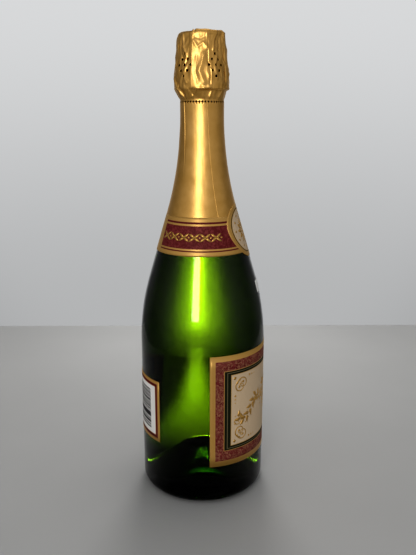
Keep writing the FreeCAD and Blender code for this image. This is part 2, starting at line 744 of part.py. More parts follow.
pieces = [
    make_glass_bottle(),
    make_wine(),
    make_foil_skirt(),
    make_foil_hood(),
    make_cork_disc("cork_disc_lower", CORK_BOTTOM),
    make_cork_disc("cork_disc_upper", f"{CORK_BOTTOM} + cork_disc_height"),
    make_cork_stem(),
    make_cage_cap(),
    make_cage_frame(),
    make_cage_belt(),
    make_cage_key(),
    make_body_label("front_label", "front_label_bottom", "front_label_height", "front_label_width", "0"),
    make_body_label("back_label", "back_label_bottom", "back_label_height", "back_label_width",
                    "back_azimuth"),
    make_price_sticker(),
    make_neck_label(),
]
doc.recompute()

failed = [item.Label for item in doc.Objects if {"Invalid", "Error"} & set(item.State)]
if failed:
    raise RuntimeError("not built: " + ", ".join(failed))
for piece in pieces:
    if piece.Shape.isNull() or not piece.Shape.isValid() or len(piece.Shape.Solids) != 1:
        raise RuntimeError("not one valid solid: " + piece.Label)
    if piece.Shape.Volume <= 0:
        raise RuntimeError("inside out: " + piece.Label)

os.makedirs("parts", exist_ok=True)
for piece in pieces:
    piece.Shape.exportStep(f"parts/{piece.Label}.step")
    box = piece.Shape.optimalBoundingBox()
    print(f"{piece.Label}: volume {piece.Shape.Volume:.1f}, z {box.ZMin:.2f} to {box.ZMax:.2f}")
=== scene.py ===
"""Looks of a dressed and sealed sparkling-wine bottle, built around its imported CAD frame.

Lengths are in millimetres and become metres when a mesh is made; shaders, lights and the floor are in metres.
+Z is up and the front label faces -Y. An azimuth is an angle about the axis, in degrees, counted from the
front (-Y) towards +X. A print is drawn in a label's own plane, x along the curve and y up.
"""
import contextlib
import random
from math import acos, asin, atan, atan2, cos, degrees, dist, exp, hypot, pi, radians, sin, sqrt, tan, tau

import bmesh
import bpy
from mathutils import Matrix, Vector, noise


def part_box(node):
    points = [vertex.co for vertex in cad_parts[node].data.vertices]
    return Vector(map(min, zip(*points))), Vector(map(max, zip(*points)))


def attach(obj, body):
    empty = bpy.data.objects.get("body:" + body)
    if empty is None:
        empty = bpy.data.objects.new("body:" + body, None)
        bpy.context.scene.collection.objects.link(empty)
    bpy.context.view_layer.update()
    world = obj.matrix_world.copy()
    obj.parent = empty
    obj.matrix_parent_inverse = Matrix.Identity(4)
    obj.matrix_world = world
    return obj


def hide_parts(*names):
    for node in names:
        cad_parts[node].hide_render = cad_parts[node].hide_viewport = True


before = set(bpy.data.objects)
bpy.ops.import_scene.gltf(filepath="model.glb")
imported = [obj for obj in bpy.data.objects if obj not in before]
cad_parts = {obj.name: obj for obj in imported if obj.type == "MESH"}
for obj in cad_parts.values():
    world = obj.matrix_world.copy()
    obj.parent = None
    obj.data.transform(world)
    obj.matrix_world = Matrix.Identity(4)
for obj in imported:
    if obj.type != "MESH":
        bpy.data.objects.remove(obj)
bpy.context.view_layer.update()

MM = 0.001
FULL_TURN = 360
HALF_TURN = 180
SIDES = 180

# Bottle line, as in the CAD model
GLASS_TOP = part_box("glass_bottle")[1] / MM
BODY_RADIUS = GLASS_TOP.x
GLASS_HEIGHT = GLASS_TOP.z
HEEL_RADIUS = 8
FOOT_WIDTH = 4
FOOT_ROUNDING = 1.5
SHOULDER_HEIGHT = 108
SHOULDER_RADIUS = 165
CONE = radians(16.5)
NECK_CURVE_RADIUS = 230
NECK_RADIUS = 14.3
NECK_START = GLASS_HEIGHT - 30.46
GLASS_WALL = 4.9
PUNT_HEIGHT = 32
PUNT_TIP_RADIUS = 9
PUNT_WALL = 5
INNER_HEEL_RADIUS = 6
BORE_RADIUS = 9
BORE_BOTTOM = GLASS_HEIGHT - 27
RING_RADIUS = 16
RING_BOTTOM = GLASS_HEIGHT - 12.8
RING_TOP = RING_BOTTOM + 5.5
RING_ROUNDING = 1.2
GROOVE_RADIUS = 13.3
LIP_RADIUS = 14
LIP_BOTTOM = GLASS_HEIGHT - 5
LIP_ROUNDING = 1.4

# Skins
SKIN_GAP = 0.05
FOIL = 0.15
PAPER = 0.12
PRINT = 0.02
WELD = 0.005 * MM
TEAR_SLIT = 0.75
TEAR_SLITS = 45
FOIL_NECK = NECK_RADIUS + SKIN_GAP + FOIL

# Camera, and the azimuth that it looks from
CAMERA_AZIMUTH = -79
CAMERA_REACH = 440.3
CAMERA_HEIGHT = 260.9
CAMERA_PITCH = 13.8
CAMERA_YAW = 0.51
CAMERA_LENS = 41.6


# Places on the bottle

def around(azimuth, radius, height):
    """A point about the bottle's axis."""
    turn = radians(azimuth)
    return Vector((radius * sin(turn), -radius * cos(turn), height))


def ray(angle):
    """A flat direction at an angle from x towards y."""
    turn = radians(angle)
    return Vector((cos(turn), sin(turn)))


def share_of(low, high, value):
    """How far a value has come from low to high, from 0 to 1."""
    return min(max((value - low) / (high - low), 0), 1)


def smooth_step(low, high, value):
    share = share_of(low, high, value)
    return share * share * (3 - 2 * share)


def between(start, end, value):
    """Rises from 0 to 1 over the range of the start, and falls again over that of the end."""
    return smooth_step(*start, value) * (1 - smooth_step(*end, value))


def angle_between(first, second):
    """The signed difference of two azimuths."""
    return (first - second + HALF_TURN) % FULL_TURN - HALF_TURN


def from_nearest(azimuth, first, count):
    """The signed angle from the nearest of evenly spaced azimuths."""
    return angle_between(count * (azimuth - first), 0) / count


def heights_of(node):
    """Bottom and top of a CAD node."""
    return [corner.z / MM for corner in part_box(node)]


def line_radius(height, offset=0.0):
    """Radius of the bottle's outer line at a height, or of a line offset outwards from it."""
    shoulder = SHOULDER_RADIUS + offset
    curve = NECK_CURVE_RADIUS - offset
    centre = BODY_RADIUS - SHOULDER_RADIUS
    cone_bottom = SHOULDER_HEIGHT + shoulder * sin(CONE)
    if height <= SHOULDER_HEIGHT:
        return BODY_RADIUS + offset
    if height <= cone_bottom:
        return centre + sqrt(shoulder ** 2 - (height - SHOULDER_HEIGHT) ** 2)
    if height <= NECK_START - curve * sin(CONE):
        return centre + shoulder * cos(CONE) - (height - cone_bottom) * tan(CONE)
    if height <= NECK_START:
        return NECK_RADIUS + NECK_CURVE_RADIUS - sqrt(curve ** 2 - (NECK_START - height) ** 2)
    return NECK_RADIUS + offset


def steps(first, last, pitch):
    """Evenly spaced values from first to last, both included, about a pitch apart."""
    count = max(1, round(abs(last - first) / pitch))
    return [first + (last - first) * step / count for step in range(count + 1)]


def arc(centre, radius, start, end, pitch=9):
    """Points (radius, height) along an arc between two angles in degrees."""
    turns = [radians(angle) for angle in steps(start, end, pitch)]
    return [(centre[0] + radius * cos(turn), centre[1] + radius * sin(turn)) for turn in turns]


# Meshes

def linked(name, data):
    """A new object in the scene."""
    made = bpy.data.objects.new(name, data)
    bpy.context.scene.collection.objects.link(made)
    return made


@contextlib.contextmanager
def edited(mesh):
    """A mesh opened for changes, which it takes over at the end."""
    shape = bmesh.new()
    shape.from_mesh(mesh)
    yield shape
    shape.to_mesh(mesh)
    shape.free()


def turn_outwards(shape):
    bmesh.ops.recalc_face_normals(shape, faces=shape.faces)


def drop_loose(shape):
    loose = [vert for vert in shape.verts if not vert.link_faces]
    bmesh.ops.delete(shape, geom=loose, context="VERTS")


def new_object(name, points, faces, material, outwards=True, unit=MM):
    mesh = bpy.data.meshes.new(name)
    mesh.from_pydata([Vector(point) * unit for point in points], [], faces)
    if outwards:
        with edited(mesh) as shape:
            turn_outwards(shape)
    mesh.shade_smooth()
    mesh.materials.append(material)
    return linked(name, mesh)


def thicken(piece, thickness):
    """Give a sheet its thickness, inwards from its outer face."""
    solid = piece.modifiers.new("thickness", "SOLIDIFY")
    solid.thickness = thickness * MM
    solid.offset = -1


def dress(piece, body, slot, *nodes):
    """Attach a piece to its CAD body, and hide the CAD nodes that it stands for; the slot is not used."""
    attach(piece, body)
    if nodes:
        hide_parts(*nodes)


def grid_faces(columns, rows, start=0, ring=False, loop=False):
    """Quads of a grid whose points are listed row by row. A ring closes each row, a loop each column."""
    faces = []
    for row in range(rows if loop else rows - 1):
        here = start + row * columns
        there = start + (row + 1) % rows * columns
        for column in range(columns if ring else columns - 1):
            follow = (column + 1) % columns
            faces.append((here + column, here + follow, there + follow, there + column))
    return faces


def lathe(name, line, material, shift=None):
    """Turn (radius, height) points about the axis. The first and the last lie on the axis."""
    points = [around(0, 0, line[0][1])]
    for radius, height in line[1:-1]:
        for side in range(SIDES):
            azimuth = side * FULL_TURN / SIDES
            extra = shift(azimuth, radius, height) if shift else 0
            points.append(around(azimuth, radius + extra, height))
    last = len(points)
    points.append(around(0, 0, line[-1][1]))
    faces = grid_faces(SIDES, len(line) - 2, 1, ring=True)
    for side in range(SIDES):
        follow = (side + 1) % SIDES
        faces.append((0, 1 + side, 1 + follow))
        faces.append((last, last - SIDES + side, last - SIDES + follow))
    return new_object(name, points, faces, material)


def carried(route, closed=False):
    """Each point of a route, with two directions across it that twist as little as they can."""
    side = None
    for index, spot in enumerate(route):
        before = route[index - 1] if index or closed else spot
        after = route[(index + 1) % len(route)] if index + 1 < len(route) or closed else spot
        along = (after - before).normalized()
        side = (along.orthogonal() if side is None else side - along * side.dot(along)).normalized()
        yield spot, side, along.cross(side)


def tube(route, radius, sides=10, closed=False):
    """Points and faces of a round bar along a route of points."""
    points = []
    for spot, side, over in carried(route, closed):
        for corner in range(sides):
            turn = tau * corner / sides
            points.append(spot + side * (radius * cos(turn)) + over * (radius * sin(turn)))
    faces = grid_faces(sides, len(route), ring=True, loop=closed)
    if not closed:
        faces.append(tuple(reversed(range(sides))))
        faces.append(tuple(range(len(points) - sides, len(points))))
    return points, faces


def join(parts):
    """One list of points and faces from several."""
    points = []
    faces = []
    for part_points, part_faces in parts:
        start = len(points)
        points.extend(part_points)
        faces.extend(tuple(start + corner for corner in face) for face in part_faces)
    return points, faces


# Materials

class Shader:
    """The nodes of a material, a lamp or the world, made and linked by short calls."""

    def __init__(self, owner, surface="Principled BSDF"):
        owner.use_nodes = True
        self.owner = owner
        self.tree = owner.node_tree
        self.surface = self.tree.nodes[surface]

    def feed(self, socket, value):
        if isinstance(value, bpy.types.NodeSocket):
            self.tree.links.new(value, socket)
        elif isinstance(value, tuple) and len(value) == 3 and len(socket.default_value) == 4:
            socket.default_value = (*value, 1)
        else:
            socket.default_value = value

    def fill(self, node, inputs):
        for name, value in inputs.items():
            self.feed(node.inputs[name.replace("_", " ")], value)

    def node(self, kind, **inputs):
        made = self.tree.nodes.new("ShaderNode" + kind)
        self.fill(made, inputs)
        return made

    def set(self, **inputs):
        """Give the surface its inputs, and hand back its owner."""
        self.fill(self.surface, inputs)
        return self.owner

    def math(self, operation, *values, kind="Math"):
        made = self.node(kind)
        made.operation = operation
        for socket, value in zip(made.inputs, values):
            self.feed(socket, value)
        return made.outputs["Value"]

    def mix(self, factor, first, second):
        """A colour or a number between first and second, or what both are."""
        if first == second:
            return first
        made = self.node("Mix")
        made.data_type = "FLOAT" if isinstance(second, (int, float)) else "RGBA"
        sockets = [socket for socket in made.inputs if socket.enabled]
        for socket, value in zip(sockets, (factor, first, second)):
            self.feed(socket, value)
        return next(socket for socket in made.outputs if socket.enabled)

    def span(self, value, low, high, start=0.0, end=1.0, kind="LINEAR"):
        """From start, at low and below, to end, at high and above."""
        made = self.node("MapRange", Value=value, From_Min=low, From_Max=high, To_Min=start, To_Max=end)
        made.interpolation_type = kind
        return made.outputs[0]

    def place(self, stretch=(1, 1, 1)):
        """The piece's own coordinates in metres, stretched."""
        spot = self.node("TexCoord").outputs["Object"]
        return self.node("Mapping", Vector=spot, Scale=stretch).outputs[0]

    def speckle(self, spot, scale, detail=3.0, distortion=0.0):
        made = self.node("TexNoise", Vector=spot, Scale=scale, Detail=detail, Distortion=distortion)
        return made.outputs["Fac"]

    def bump(self, height, distance, strength=1.0):
        made = self.node("Bump", Height=height, Distance=distance, Strength=strength)
        self.set(Normal=made.outputs[0])


GOLD = (0.62, 0.39, 0.14)
MAROON = (0.135, 0.017, 0.022)
MAROON_LIGHT = (0.27, 0.062, 0.062)
TAN = (0.40, 0.235, 0.135)
GREEN_BLACK = (0.017, 0.022, 0.013)
OLIVE = (0.20, 0.17, 0.10)
CREAM = (0.62, 0.49, 0.345)
WHITE_PAPER = (0.80, 0.79, 0.76)
INK = (0.03, 0.03, 0.035)
PAPER_SHADE = (0.10, 0.07, 0.04)
PRINT_EDGE = 0.06
RULES_PER_METRE = 1100.0
RULES_MIDDLE = 24
RULES_HALF_WIDTH = 11
RULES_HALF_HEIGHT = 15


def new_shader(name):
    return Shader(bpy.data.materials.new(name))


def clear_material(name, ior, colour, density):
    shader = new_shader(name)
    tint = shader.node("VolumeAbsorption", Color=colour, Density=density)
    shader.feed(shader.tree.nodes["Material Output"].inputs["Volume"], tint.outputs[0])
    return shader.set(Base_Color=(1, 1, 1), Roughness=0.0, IOR=ior, Transmission_Weight=1.0)


def mottled_material(name, scale, first, second, roughness, metallic=0.0, grain=0.0):
    """Clouds of two near colours and two roughnesses, and a fine grain."""
    shader = new_shader(name)
    spot = shader.place()
    cloud = shader.speckle(spot, scale)
    if grain:
        shader.bump(shader.speckle(spot, 2600.0, 2.0), grain, 0.35)
    return shader.set(Base_Color=shader.mix(cloud, first, second), Metallic=metallic,
                      Roughness=shader.mix(cloud, *roughness))


def metal_material(name, colour, roughness):
    return mottled_material(name, 900.0, colour, colour, (roughness, roughness + 0.15), 1.0)


def cork_material():
    """Pressed granules: each cell has its own brown, with dark gaps."""
    shader = new_shader("pressed_cork")
    spot = shader.place()
    cells = shader.node("TexVoronoi", Vector=spot, Scale=420.0)
    shade = shader.node("SeparateColor", Color=cells.outputs["Color"]).outputs[0]
    edges = shader.node("TexVoronoi", Vector=spot, Scale=420.0)
    edges.feature = "DISTANCE_TO_EDGE"
    gap = shader.span(edges.outputs["Distance"], 0.02, 0.12)
    colour = shader.mix(shade, (0.30, 0.17, 0.075), (0.55, 0.36, 0.19))
    darker = shader.mix(0.35, colour, (0.14, 0.07, 0.03))
    colour = shader.mix(shader.speckle(spot, 1800.0), darker, colour)
    shader.bump(gap, 0.15 * MM)
    return shader.set(Base_Color=shader.mix(gap, (0.10, 0.05, 0.02), colour), Roughness=0.85)


def natural_cork_material():
    """Plain cork with lenticels, stretched across the grain."""
    shader = new_shader("natural_cork")
    streak = shader.speckle(shader.place((1, 4, 1)), 320.0, 5.0, 0.6)
    pores = shader.span(shader.speckle(shader.place((1, 3, 1)), 900.0), 0.30, 0.42)
    colour = shader.mix(streak, (0.42, 0.25, 0.12), (0.64, 0.45, 0.26))
    shader.bump(pores, 0.12 * MM)
    return shader.set(Base_Color=shader.mix(pores, (0.16, 0.08, 0.035), colour), Roughness=0.9)


def marble(shader, uv):
    """Printed marbling: dark red clouds."""
    clouds = shader.speckle(uv, 420.0, 6.0, 1.6)
    return shader.mix(shader.span(clouds, 0.42, 0.72), MAROON, MAROON_LIGHT)


def veined_marble(shader, uv):
    """Marbling with winding tan veins where a noise crosses its middle value."""
    wander = shader.speckle(uv, 330.0, 5.0, 2.0)
    away = shader.math("ABSOLUTE", shader.math("SUBTRACT", wander, 0.5))
    vein = shader.span(away, 0.01, 0.055, 0.75, 0.0)
    return shader.mix(vein, marble(shader, uv), TAN)


def printed_paper(name, layers, *label):
    """Paper printed over gold, matt where it isn't gold, with fibres that lift it a little.

    Layers gives the prints from below up as (mask, colour or pattern). Only gold has a metal's shine.
    """
    shader = new_shader(name)
    uv = shader.node("TexCoord").outputs["UV"]
    flat = shader.node("SeparateXYZ", Vector=uv).outputs
    colour = GOLD
    metal = 1.0
    for mask, tint in layers(shader, flat[0], flat[1], *label):
        colour = shader.mix(mask, colour, tint(shader, uv) if callable(tint) else tint)
        metal = shader.mix(mask, metal, 1.0 if tint == GOLD else 0.0)
    fibres = shader.speckle(uv, 2500.0, 4.0)
    shader.bump(fibres, 0.02 * MM, 0.4)
    return shader.set(Base_Color=shader.mix(shader.math("MULTIPLY", fibres, 0.25), colour, PAPER_SHADE),
                      Metallic=shader.math("MULTIPLY", metal, 0.6), Roughness=shader.mix(metal, 0.62, 0.42),
                      Specular_IOR_Level=0.25)


def beyond(shader, value, start):
    """A mask of where a length is past a start, with a slightly soft edge."""
    return shader.span(value, (start - PRINT_EDGE) * MM, (start + PRINT_EDGE) * MM)


def frame_layers(shader, x, y, width, height, frames):
    """Nested frames: insets from the sides and the ends, and a colour."""
    from_side = shader.math("SUBTRACT", width / 2 * MM, shader.math("ABSOLUTE", x))
    from_end = shader.math("SUBTRACT", height / 2 * MM, shader.math("ABSOLUTE", y))
    layers = []
    for side, end, tint in frames:
        inside = shader.math("MINIMUM", beyond(shader, from_side, side), beyond(shader, from_end, end))
        layers.append((inside, tint))
    return layers


def ruled_layers(shader, x, y, *label):
    """Nested frames, and a block of uneven level rules at one side."""
    row = shader.node("CombineXYZ", Y=shader.math("MULTIPLY", y, RULES_PER_METRE)).outputs[0]
    rules = shader.span(shader.speckle(row, 1.0, 0.0), 0.46, 0.49)

    def within(value, half):
        return shader.math("LESS_THAN", shader.math("ABSOLUTE", value), half * MM)
    right = within(shader.math("SUBTRACT", x, RULES_MIDDLE * MM), RULES_HALF_WIDTH)
    block = shader.math("MULTIPLY", right, within(y, RULES_HALF_HEIGHT))
    return frame_layers(shader, x, y, *label) + [(shader.math("MULTIPLY", rules, block), INK)]


glass = clear_material("green_glass", 1.5, (0.625, 0.70, 0.08), 950.0)
wine = clear_material("wine", 1.343, (0.96, 0.90, 0.55), 6.0)
foil = mottled_material("gold_foil", 140.0, (0.55, 0.325, 0.095), (0.75, 0.485, 0.195), (0.33, 0.44),
                        1.0, 0.03 * MM)
wire = metal_material("cage_wire", (0.56, 0.55, 0.53), 0.28)
cap_metal = metal_material("cap_metal", (0.58, 0.38, 0.13), 0.25)
gold_print = metal_material("gold_print", GOLD, 0.34)
pressed_cork = cork_material()
natural_cork = natural_cork_material()


# Glass and wine

FOOT_OUTER = BODY_RADIUS - HEEL_RADIUS
FOOT_INNER = FOOT_OUTER - FOOT_WIDTH
TIP_CENTRE = PUNT_HEIGHT - PUNT_TIP_RADIUS
PUNT_ANGLE = (acos(PUNT_TIP_RADIUS / hypot(FOOT_INNER, TIP_CENTRE))
              - atan2(TIP_CENTRE, FOOT_INNER))
PUNT_TURN = degrees(PUNT_ANGLE)
VALLEY_ACROSS = BODY_RADIUS - GLASS_WALL - INNER_HEEL_RADIUS
VALLEY_UP = TIP_CENTRE + (PUNT_TIP_RADIUS + PUNT_WALL + INNER_HEEL_RADIUS
                          - VALLEY_ACROSS * cos(PUNT_ANGLE)) / sin(PUNT_ANGLE)
WALL_WAVE = 0.14
WAVE_LENGTH = 48
WAVE_SPREAD = 2.4
WAVE_START = (12, 40)
WAVE_END = (200, 235)
WALL_STREAK = 0.03
STREAK_LENGTH = 150
STREAK_SPREAD = 9.0
WINE_SOAK = 0.12
MENISCUS = 1.2


def wall_wave(azimuth, radius, height):
    """Uneven inner wall, as of blown glass: long upright waves that die out at both ends."""
    if radius < VALLEY_ACROSS / 2 or radius > line_radius(height, -GLASS_WALL / 2):
        return 0
    wave = noise.fractal(around(azimuth, WAVE_SPREAD, height / WAVE_LENGTH), 1.0, 2.0, 3)
    streak = noise.noise(around(azimuth, STREAK_SPREAD, height / STREAK_LENGTH))
    return between(WAVE_START, WAVE_END, height) * (WALL_WAVE * wave + WALL_STREAK * streak)


def cavity_line(inset, top):
    """The inside from a height down the wall and over the punt to the axis."""
    dome = PUNT_TIP_RADIUS + PUNT_WALL + inset
    wall = [(line_radius(height, -GLASS_WALL - inset), height) for height in steps(top, VALLEY_UP, 3)]
    bottom = arc((VALLEY_ACROSS, VALLEY_UP), INNER_HEEL_RADIUS - inset, 0, PUNT_TURN - HALF_TURN)
    tip = arc((0, TIP_CENTRE), dome, PUNT_TURN, 90)
    return wall + bottom[1:] + tip[:-1] + [(0, TIP_CENTRE + dome)]


def make_glass():
    corner = (PUNT_TIP_RADIUS + TIP_CENTRE * sin(PUNT_ANGLE)
              + FOOT_ROUNDING * (1 - sin(PUNT_ANGLE))) / cos(PUNT_ANGLE)
    ring_edge = RING_RADIUS - RING_ROUNDING
    lip_edge = LIP_RADIUS - LIP_ROUNDING
    mouth_edge = BORE_RADIUS + LIP_ROUNDING
    line = [(0, PUNT_HEIGHT)]
    line += arc((0, TIP_CENTRE), PUNT_TIP_RADIUS, 90, PUNT_TURN)[1:]
    line += arc((corner, FOOT_ROUNDING), FOOT_ROUNDING, PUNT_TURN - HALF_TURN, -90)
    line += arc((FOOT_OUTER, HEEL_RADIUS), HEEL_RADIUS, -90, 0)
    line += [(line_radius(height), height) for height in steps(HEEL_RADIUS, NECK_START, 3)[1:]]
    line += [(NECK_RADIUS, RING_BOTTOM)]
    line += arc((ring_edge, RING_BOTTOM + RING_ROUNDING), RING_ROUNDING, -90, 0, 18)
    line += arc((ring_edge, RING_TOP - RING_ROUNDING), RING_ROUNDING, 0, 90, 18)
    line += [(GROOVE_RADIUS, RING_TOP), (GROOVE_RADIUS, LIP_BOTTOM), (LIP_RADIUS, LIP_BOTTOM)]
    line += arc((lip_edge, GLASS_HEIGHT - LIP_ROUNDING), LIP_ROUNDING, 0, 90, 18)
    line += arc((mouth_edge, GLASS_HEIGHT - LIP_ROUNDING), LIP_ROUNDING, 90, 180, 18)
    line += [(BORE_RADIUS, BORE_BOTTOM)]
    line += cavity_line(0, NECK_START)
    dress(lathe("glass_bottle_skin", line, glass, wall_wave), "bottle", "green_glass", "glass_bottle")


def make_wine():
    """The wine reaches a hair into the glass, so that no air film lies between them."""
    level = heights_of("wine")[1]
    edge = line_radius(level, WINE_SOAK - GLASS_WALL)
    line = [(0, level)] + [(share * edge, level) for share in (0.3, 0.6, 0.85)]
    line += [(edge - MENISCUS, level), (edge - MENISCUS / 3, level + MENISCUS / 4)]
    line += cavity_line(-WINE_SOAK, level + MENISCUS)
    dress(lathe("wine_filling", line, wine, wall_wave), "bottle", "wine", "wine")


make_glass()
make_wine()


# Foil skirt below the tear line

SEAM_TOP = -67
SEAM_DRIFT = 15
SEAM_WIDTH = 17
SEAM_EDGE = 0.2
FOLD_OFFSET = -63
EDGE_REACH = 0.04
SKIRT_CREASE = 0.10
SKIRT_BULGE = 0.25
OVERLAP_LOW = 0.4
OVERLAP_RISE = 1.4
PLEAT_LIP = 0.5
PLEAT_BACK = 0.4
PLEAT_FALL = 30
PLEAT_START = (215, 262)
SKIRT_BOTTOM, SKIRT_TOP = heights_of("foil_skirt")
SKIRT_COVERED = heights_of("neck_label")[1] - 8
SLIT_SPACING = FULL_TURN / TEAR_SLITS


def pinched_fold(away):
    """A pinched pleat down the neck: a lip, a groove, and a slow fall on the other side."""
    if away < 1:
        return PLEAT_LIP * max(0, min(1 + (away + 1) / 4, (1 - away) / 2))
    return PLEAT_BACK * max(0, min((away - 1) / 1.5, 1 - away / PLEAT_FALL))


def skirt_relief(turn, azimuth, height):
    """How far the foil stands proud of the neck; turn is counted from the overlap's edge."""
    covered = turn - FULL_TURN + SEAM_WIDTH
    relief = FOIL * (OVERLAP_LOW + OVERLAP_RISE * max(0, covered) / SEAM_WIDTH) if turn < FULL_TURN else 0
    relief += SKIRT_CREASE * abs(noise.fractal(around(azimuth, 1.7, height / 9), 1.0, 2.0, 3))
    relief += SKIRT_BULGE * max(0, noise.noise(around(azimuth, 2.2, height / 22))) ** 2
    relief += pinched_fold(angle_between(turn, FOLD_OFFSET)) * smooth_step(*PLEAT_START, height)
    return relief * smooth_step(SKIRT_COVERED, SKIRT_COVERED + 4, height)


def make_foil_skirt():
    """One wrapped sheet, whose overlap runs down the neck as a raised strip."""
    top = SKIRT_TOP + EDGE_REACH
    heights = [top] + steps(SKIRT_TOP - TEAR_SLIT / 2, SKIRT_BOTTOM, 1.5)
    turns = list(range(FULL_TURN)) + [FULL_TURN - SEAM_EDGE, FULL_TURN]
    points = []
    for height in heights:
        seam = SEAM_TOP + SEAM_DRIFT * (top - height) / (top - SKIRT_BOTTOM)
        for turn in turns:
            proud = SKIN_GAP + FOIL + skirt_relief(turn, turn + seam, height)
            points.append(around(turn + seam, line_radius(height, proud), height))
    faces = []
    for face in grid_faces(len(turns), len(heights)):
        azimuth = turns[face[0] % len(turns)] + SEAM_TOP
        slit = face[0] < len(turns) and azimuth % SLIT_SPACING < SLIT_SPACING / 2
        if not slit:
            faces.append(face)
    piece = new_object("foil_skirt_wrap", points, faces, foil)
    with edited(piece.data) as shape:
        bmesh.ops.remove_doubles(shape, verts=shape.verts, dist=WELD)
        drop_loose(shape)
        turn_outwards(shape)
    thicken(piece, FOIL)
    dress(piece, "bottle", "gold_foil", "foil_skirt")


make_foil_skirt()


# Foil hood over cork and cage

LEGS = 4
LEG_AZIMUTH = -12.5
KEY_AZIMUTH = -147.5
HOOD_BOTTOM, HOOD_TOP = heights_of("foil_hood")
HOOD_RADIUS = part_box("foil_hood")[1].x / MM
HOOD_DEGREE = radians(1) * HOOD_RADIUS
TAPER_BOTTOM = 274.15
TAPER_TOP = TAPER_BOTTOM + 6.3
BAND_TOP = TAPER_TOP + 12.7
HOOD_SHOULDER = 312.9
HOOD_UPPER = 15.85
HOOD_CORNER = HOOD_TOP - HOOD_SHOULDER
COLUMN_TURN = 2
COLUMNS = FULL_TURN // COLUMN_TURN
VENT_MIDDLE = GLASS_HEIGHT - 1.2
VENT_ROW = 3.4
VENT_RADIUS = 0.8
VENT_DENT = 1.3
VENT_GROUPS = 5
VENT_AZIMUTH = 24
VENT_WIDEST = 3
VENT_HALF_STEP = 4
VENT_BORDER = [(-2, -1), (-1, -1), (0, -1), (1, -1), (2, -1), (2, 0),
               (2, 1), (1, 1), (0, 1), (-1, 1), (-2, 1), (-2, 0)]
ROWS_PER_VENT = 3
ROW_PITCH = VENT_ROW / ROWS_PER_VENT
LEG_OUTER_LOW = 17.55
LEG_OUTER_HIGH = 15.35
KEY_OUTER = 17.65
KEY_TOP = 293
KEY_HALF_ANGLE = 9
LEG_HALF_ANGLE = 5
FOIL_ROOM = 0.35
FLAP_LEFT = -4.5
FLAP_LIFT = 0.8
SEAM_FACING = 13
SEAM_JOG = 8
SEAM_JOG_HEIGHTS = (291, 296)
TIGHT_START = (-25, 15)
TIGHT_END = (120, 150)
CALM_START = (-30, -22)
CALM_END = (8, 16)
FAR_FOLDS = 22
FAR_START = 80
FAR_SPAN = 200
FOLD_TOP = 314

# How far each kind of crinkle stands out or in
HOLLOW_LOW = 0.45
HOLLOW_MORE_ABOVE = 0.7
LEG_FALL_LEFT = 3.0
LEG_FALL_RIGHT = 20
BROAD_CRESTS = 0.30
CLOSE_CRESTS = 0.24
FINE_CRINKLE = 0.04
CALM_SHARE = 0.75
SEAM_RISE = 0.5
VENT_DEPTH = 0.12
LEAN = 0.4
TAPER_PLEATS = 0.45
TOP_CRINKLE = 0.4
FLAP_CREASE = 0.7
TOP_HOLLOW = 0.75

# Folds of the hood that the camera sees: rise and half width, then places along the fold as
# (degrees to the right of the camera's line, height)
HOOD_FOLDS = [
    (0.65, 1.5, [(-52, 314), (-47, 306), (-36, 300), (-40, 296)]),
    (-0.55, 1.3, [(-60, 313), (-56, 305), (-47, 299)]),
    (0.80, 1.3, [(-74, 287), (-66, 282.5), (-50, 275)]),
    (-0.60, 1.6, [(-62, 284), (-46, 277)]),
    (0.55, 1.6, [(-30, 297), (-42, 290), (-34, 284)]),
    (0.50, 1.5, [(-70, 309), (-66, 300), (-72, 294)]),
    (0.60, 2.4, [(3, 301), (-1, 295), (-6, 291), (0, 287), (4, 284)]),
    (-0.35, 2.0, [(-12, 300), (-14, 290), (-8, 284)]),
    (0.35, 1.6, [(-19, 309), (-10, 305.5), (2, 308), (10, 306)]),
    (-0.30, 1.3, [(-16, 311.5), (-4, 310.5), (8, 312)]),
    (-0.55, 1.3, [(11, 303), (12, 297), (18, 291), (17, 283)]),
    (0.60, 1.5, [(60, 311), (54, 300), (60, 296)]),
    (0.50, 1.4, [(40, 313.5), (30, 309.5), (27, 304)]),
    (-0.40, 1.4, [(47, 312), (42, 304)]),
    (0.50, 1.6, [(36, 300), (28, 294), (33, 287)]),
    (0.60, 1.5, [(78, 290), (58, 283)]),
    (0.55, 1.4, [(54, 280), (46, 275)]),
    (-0.50, 1.4, [(-28, 280), (-20, 276.5)]),
    (0.50, 1.4, [(-14, 279), (-24, 275)]),
    (0.45, 1.4, [(24, 280), (18, 275)]),
]
FOLD_REACH = 45


def far_side_folds():
    """Wandering folds for the side that faces away from the camera."""
    chance = random.Random(11)
    folds = []
    for number in range(FAR_FOLDS):
        facing = FAR_START + FAR_SPAN * number / FAR_FOLDS + chance.uniform(-4, 4)
        height = chance.uniform(276, 306)
        places = [(facing, height)]
        for turn in range(3):
            facing += chance.uniform(-9, 9)
            height += chance.uniform(3, 7)
            places.append((facing, min(height, FOLD_TOP)))
        folds.append((chance.uniform(-0.5, 0.7), chance.uniform(1.1, 2.4), places))
    return folds


HOOD_FOLDS += far_side_folds()


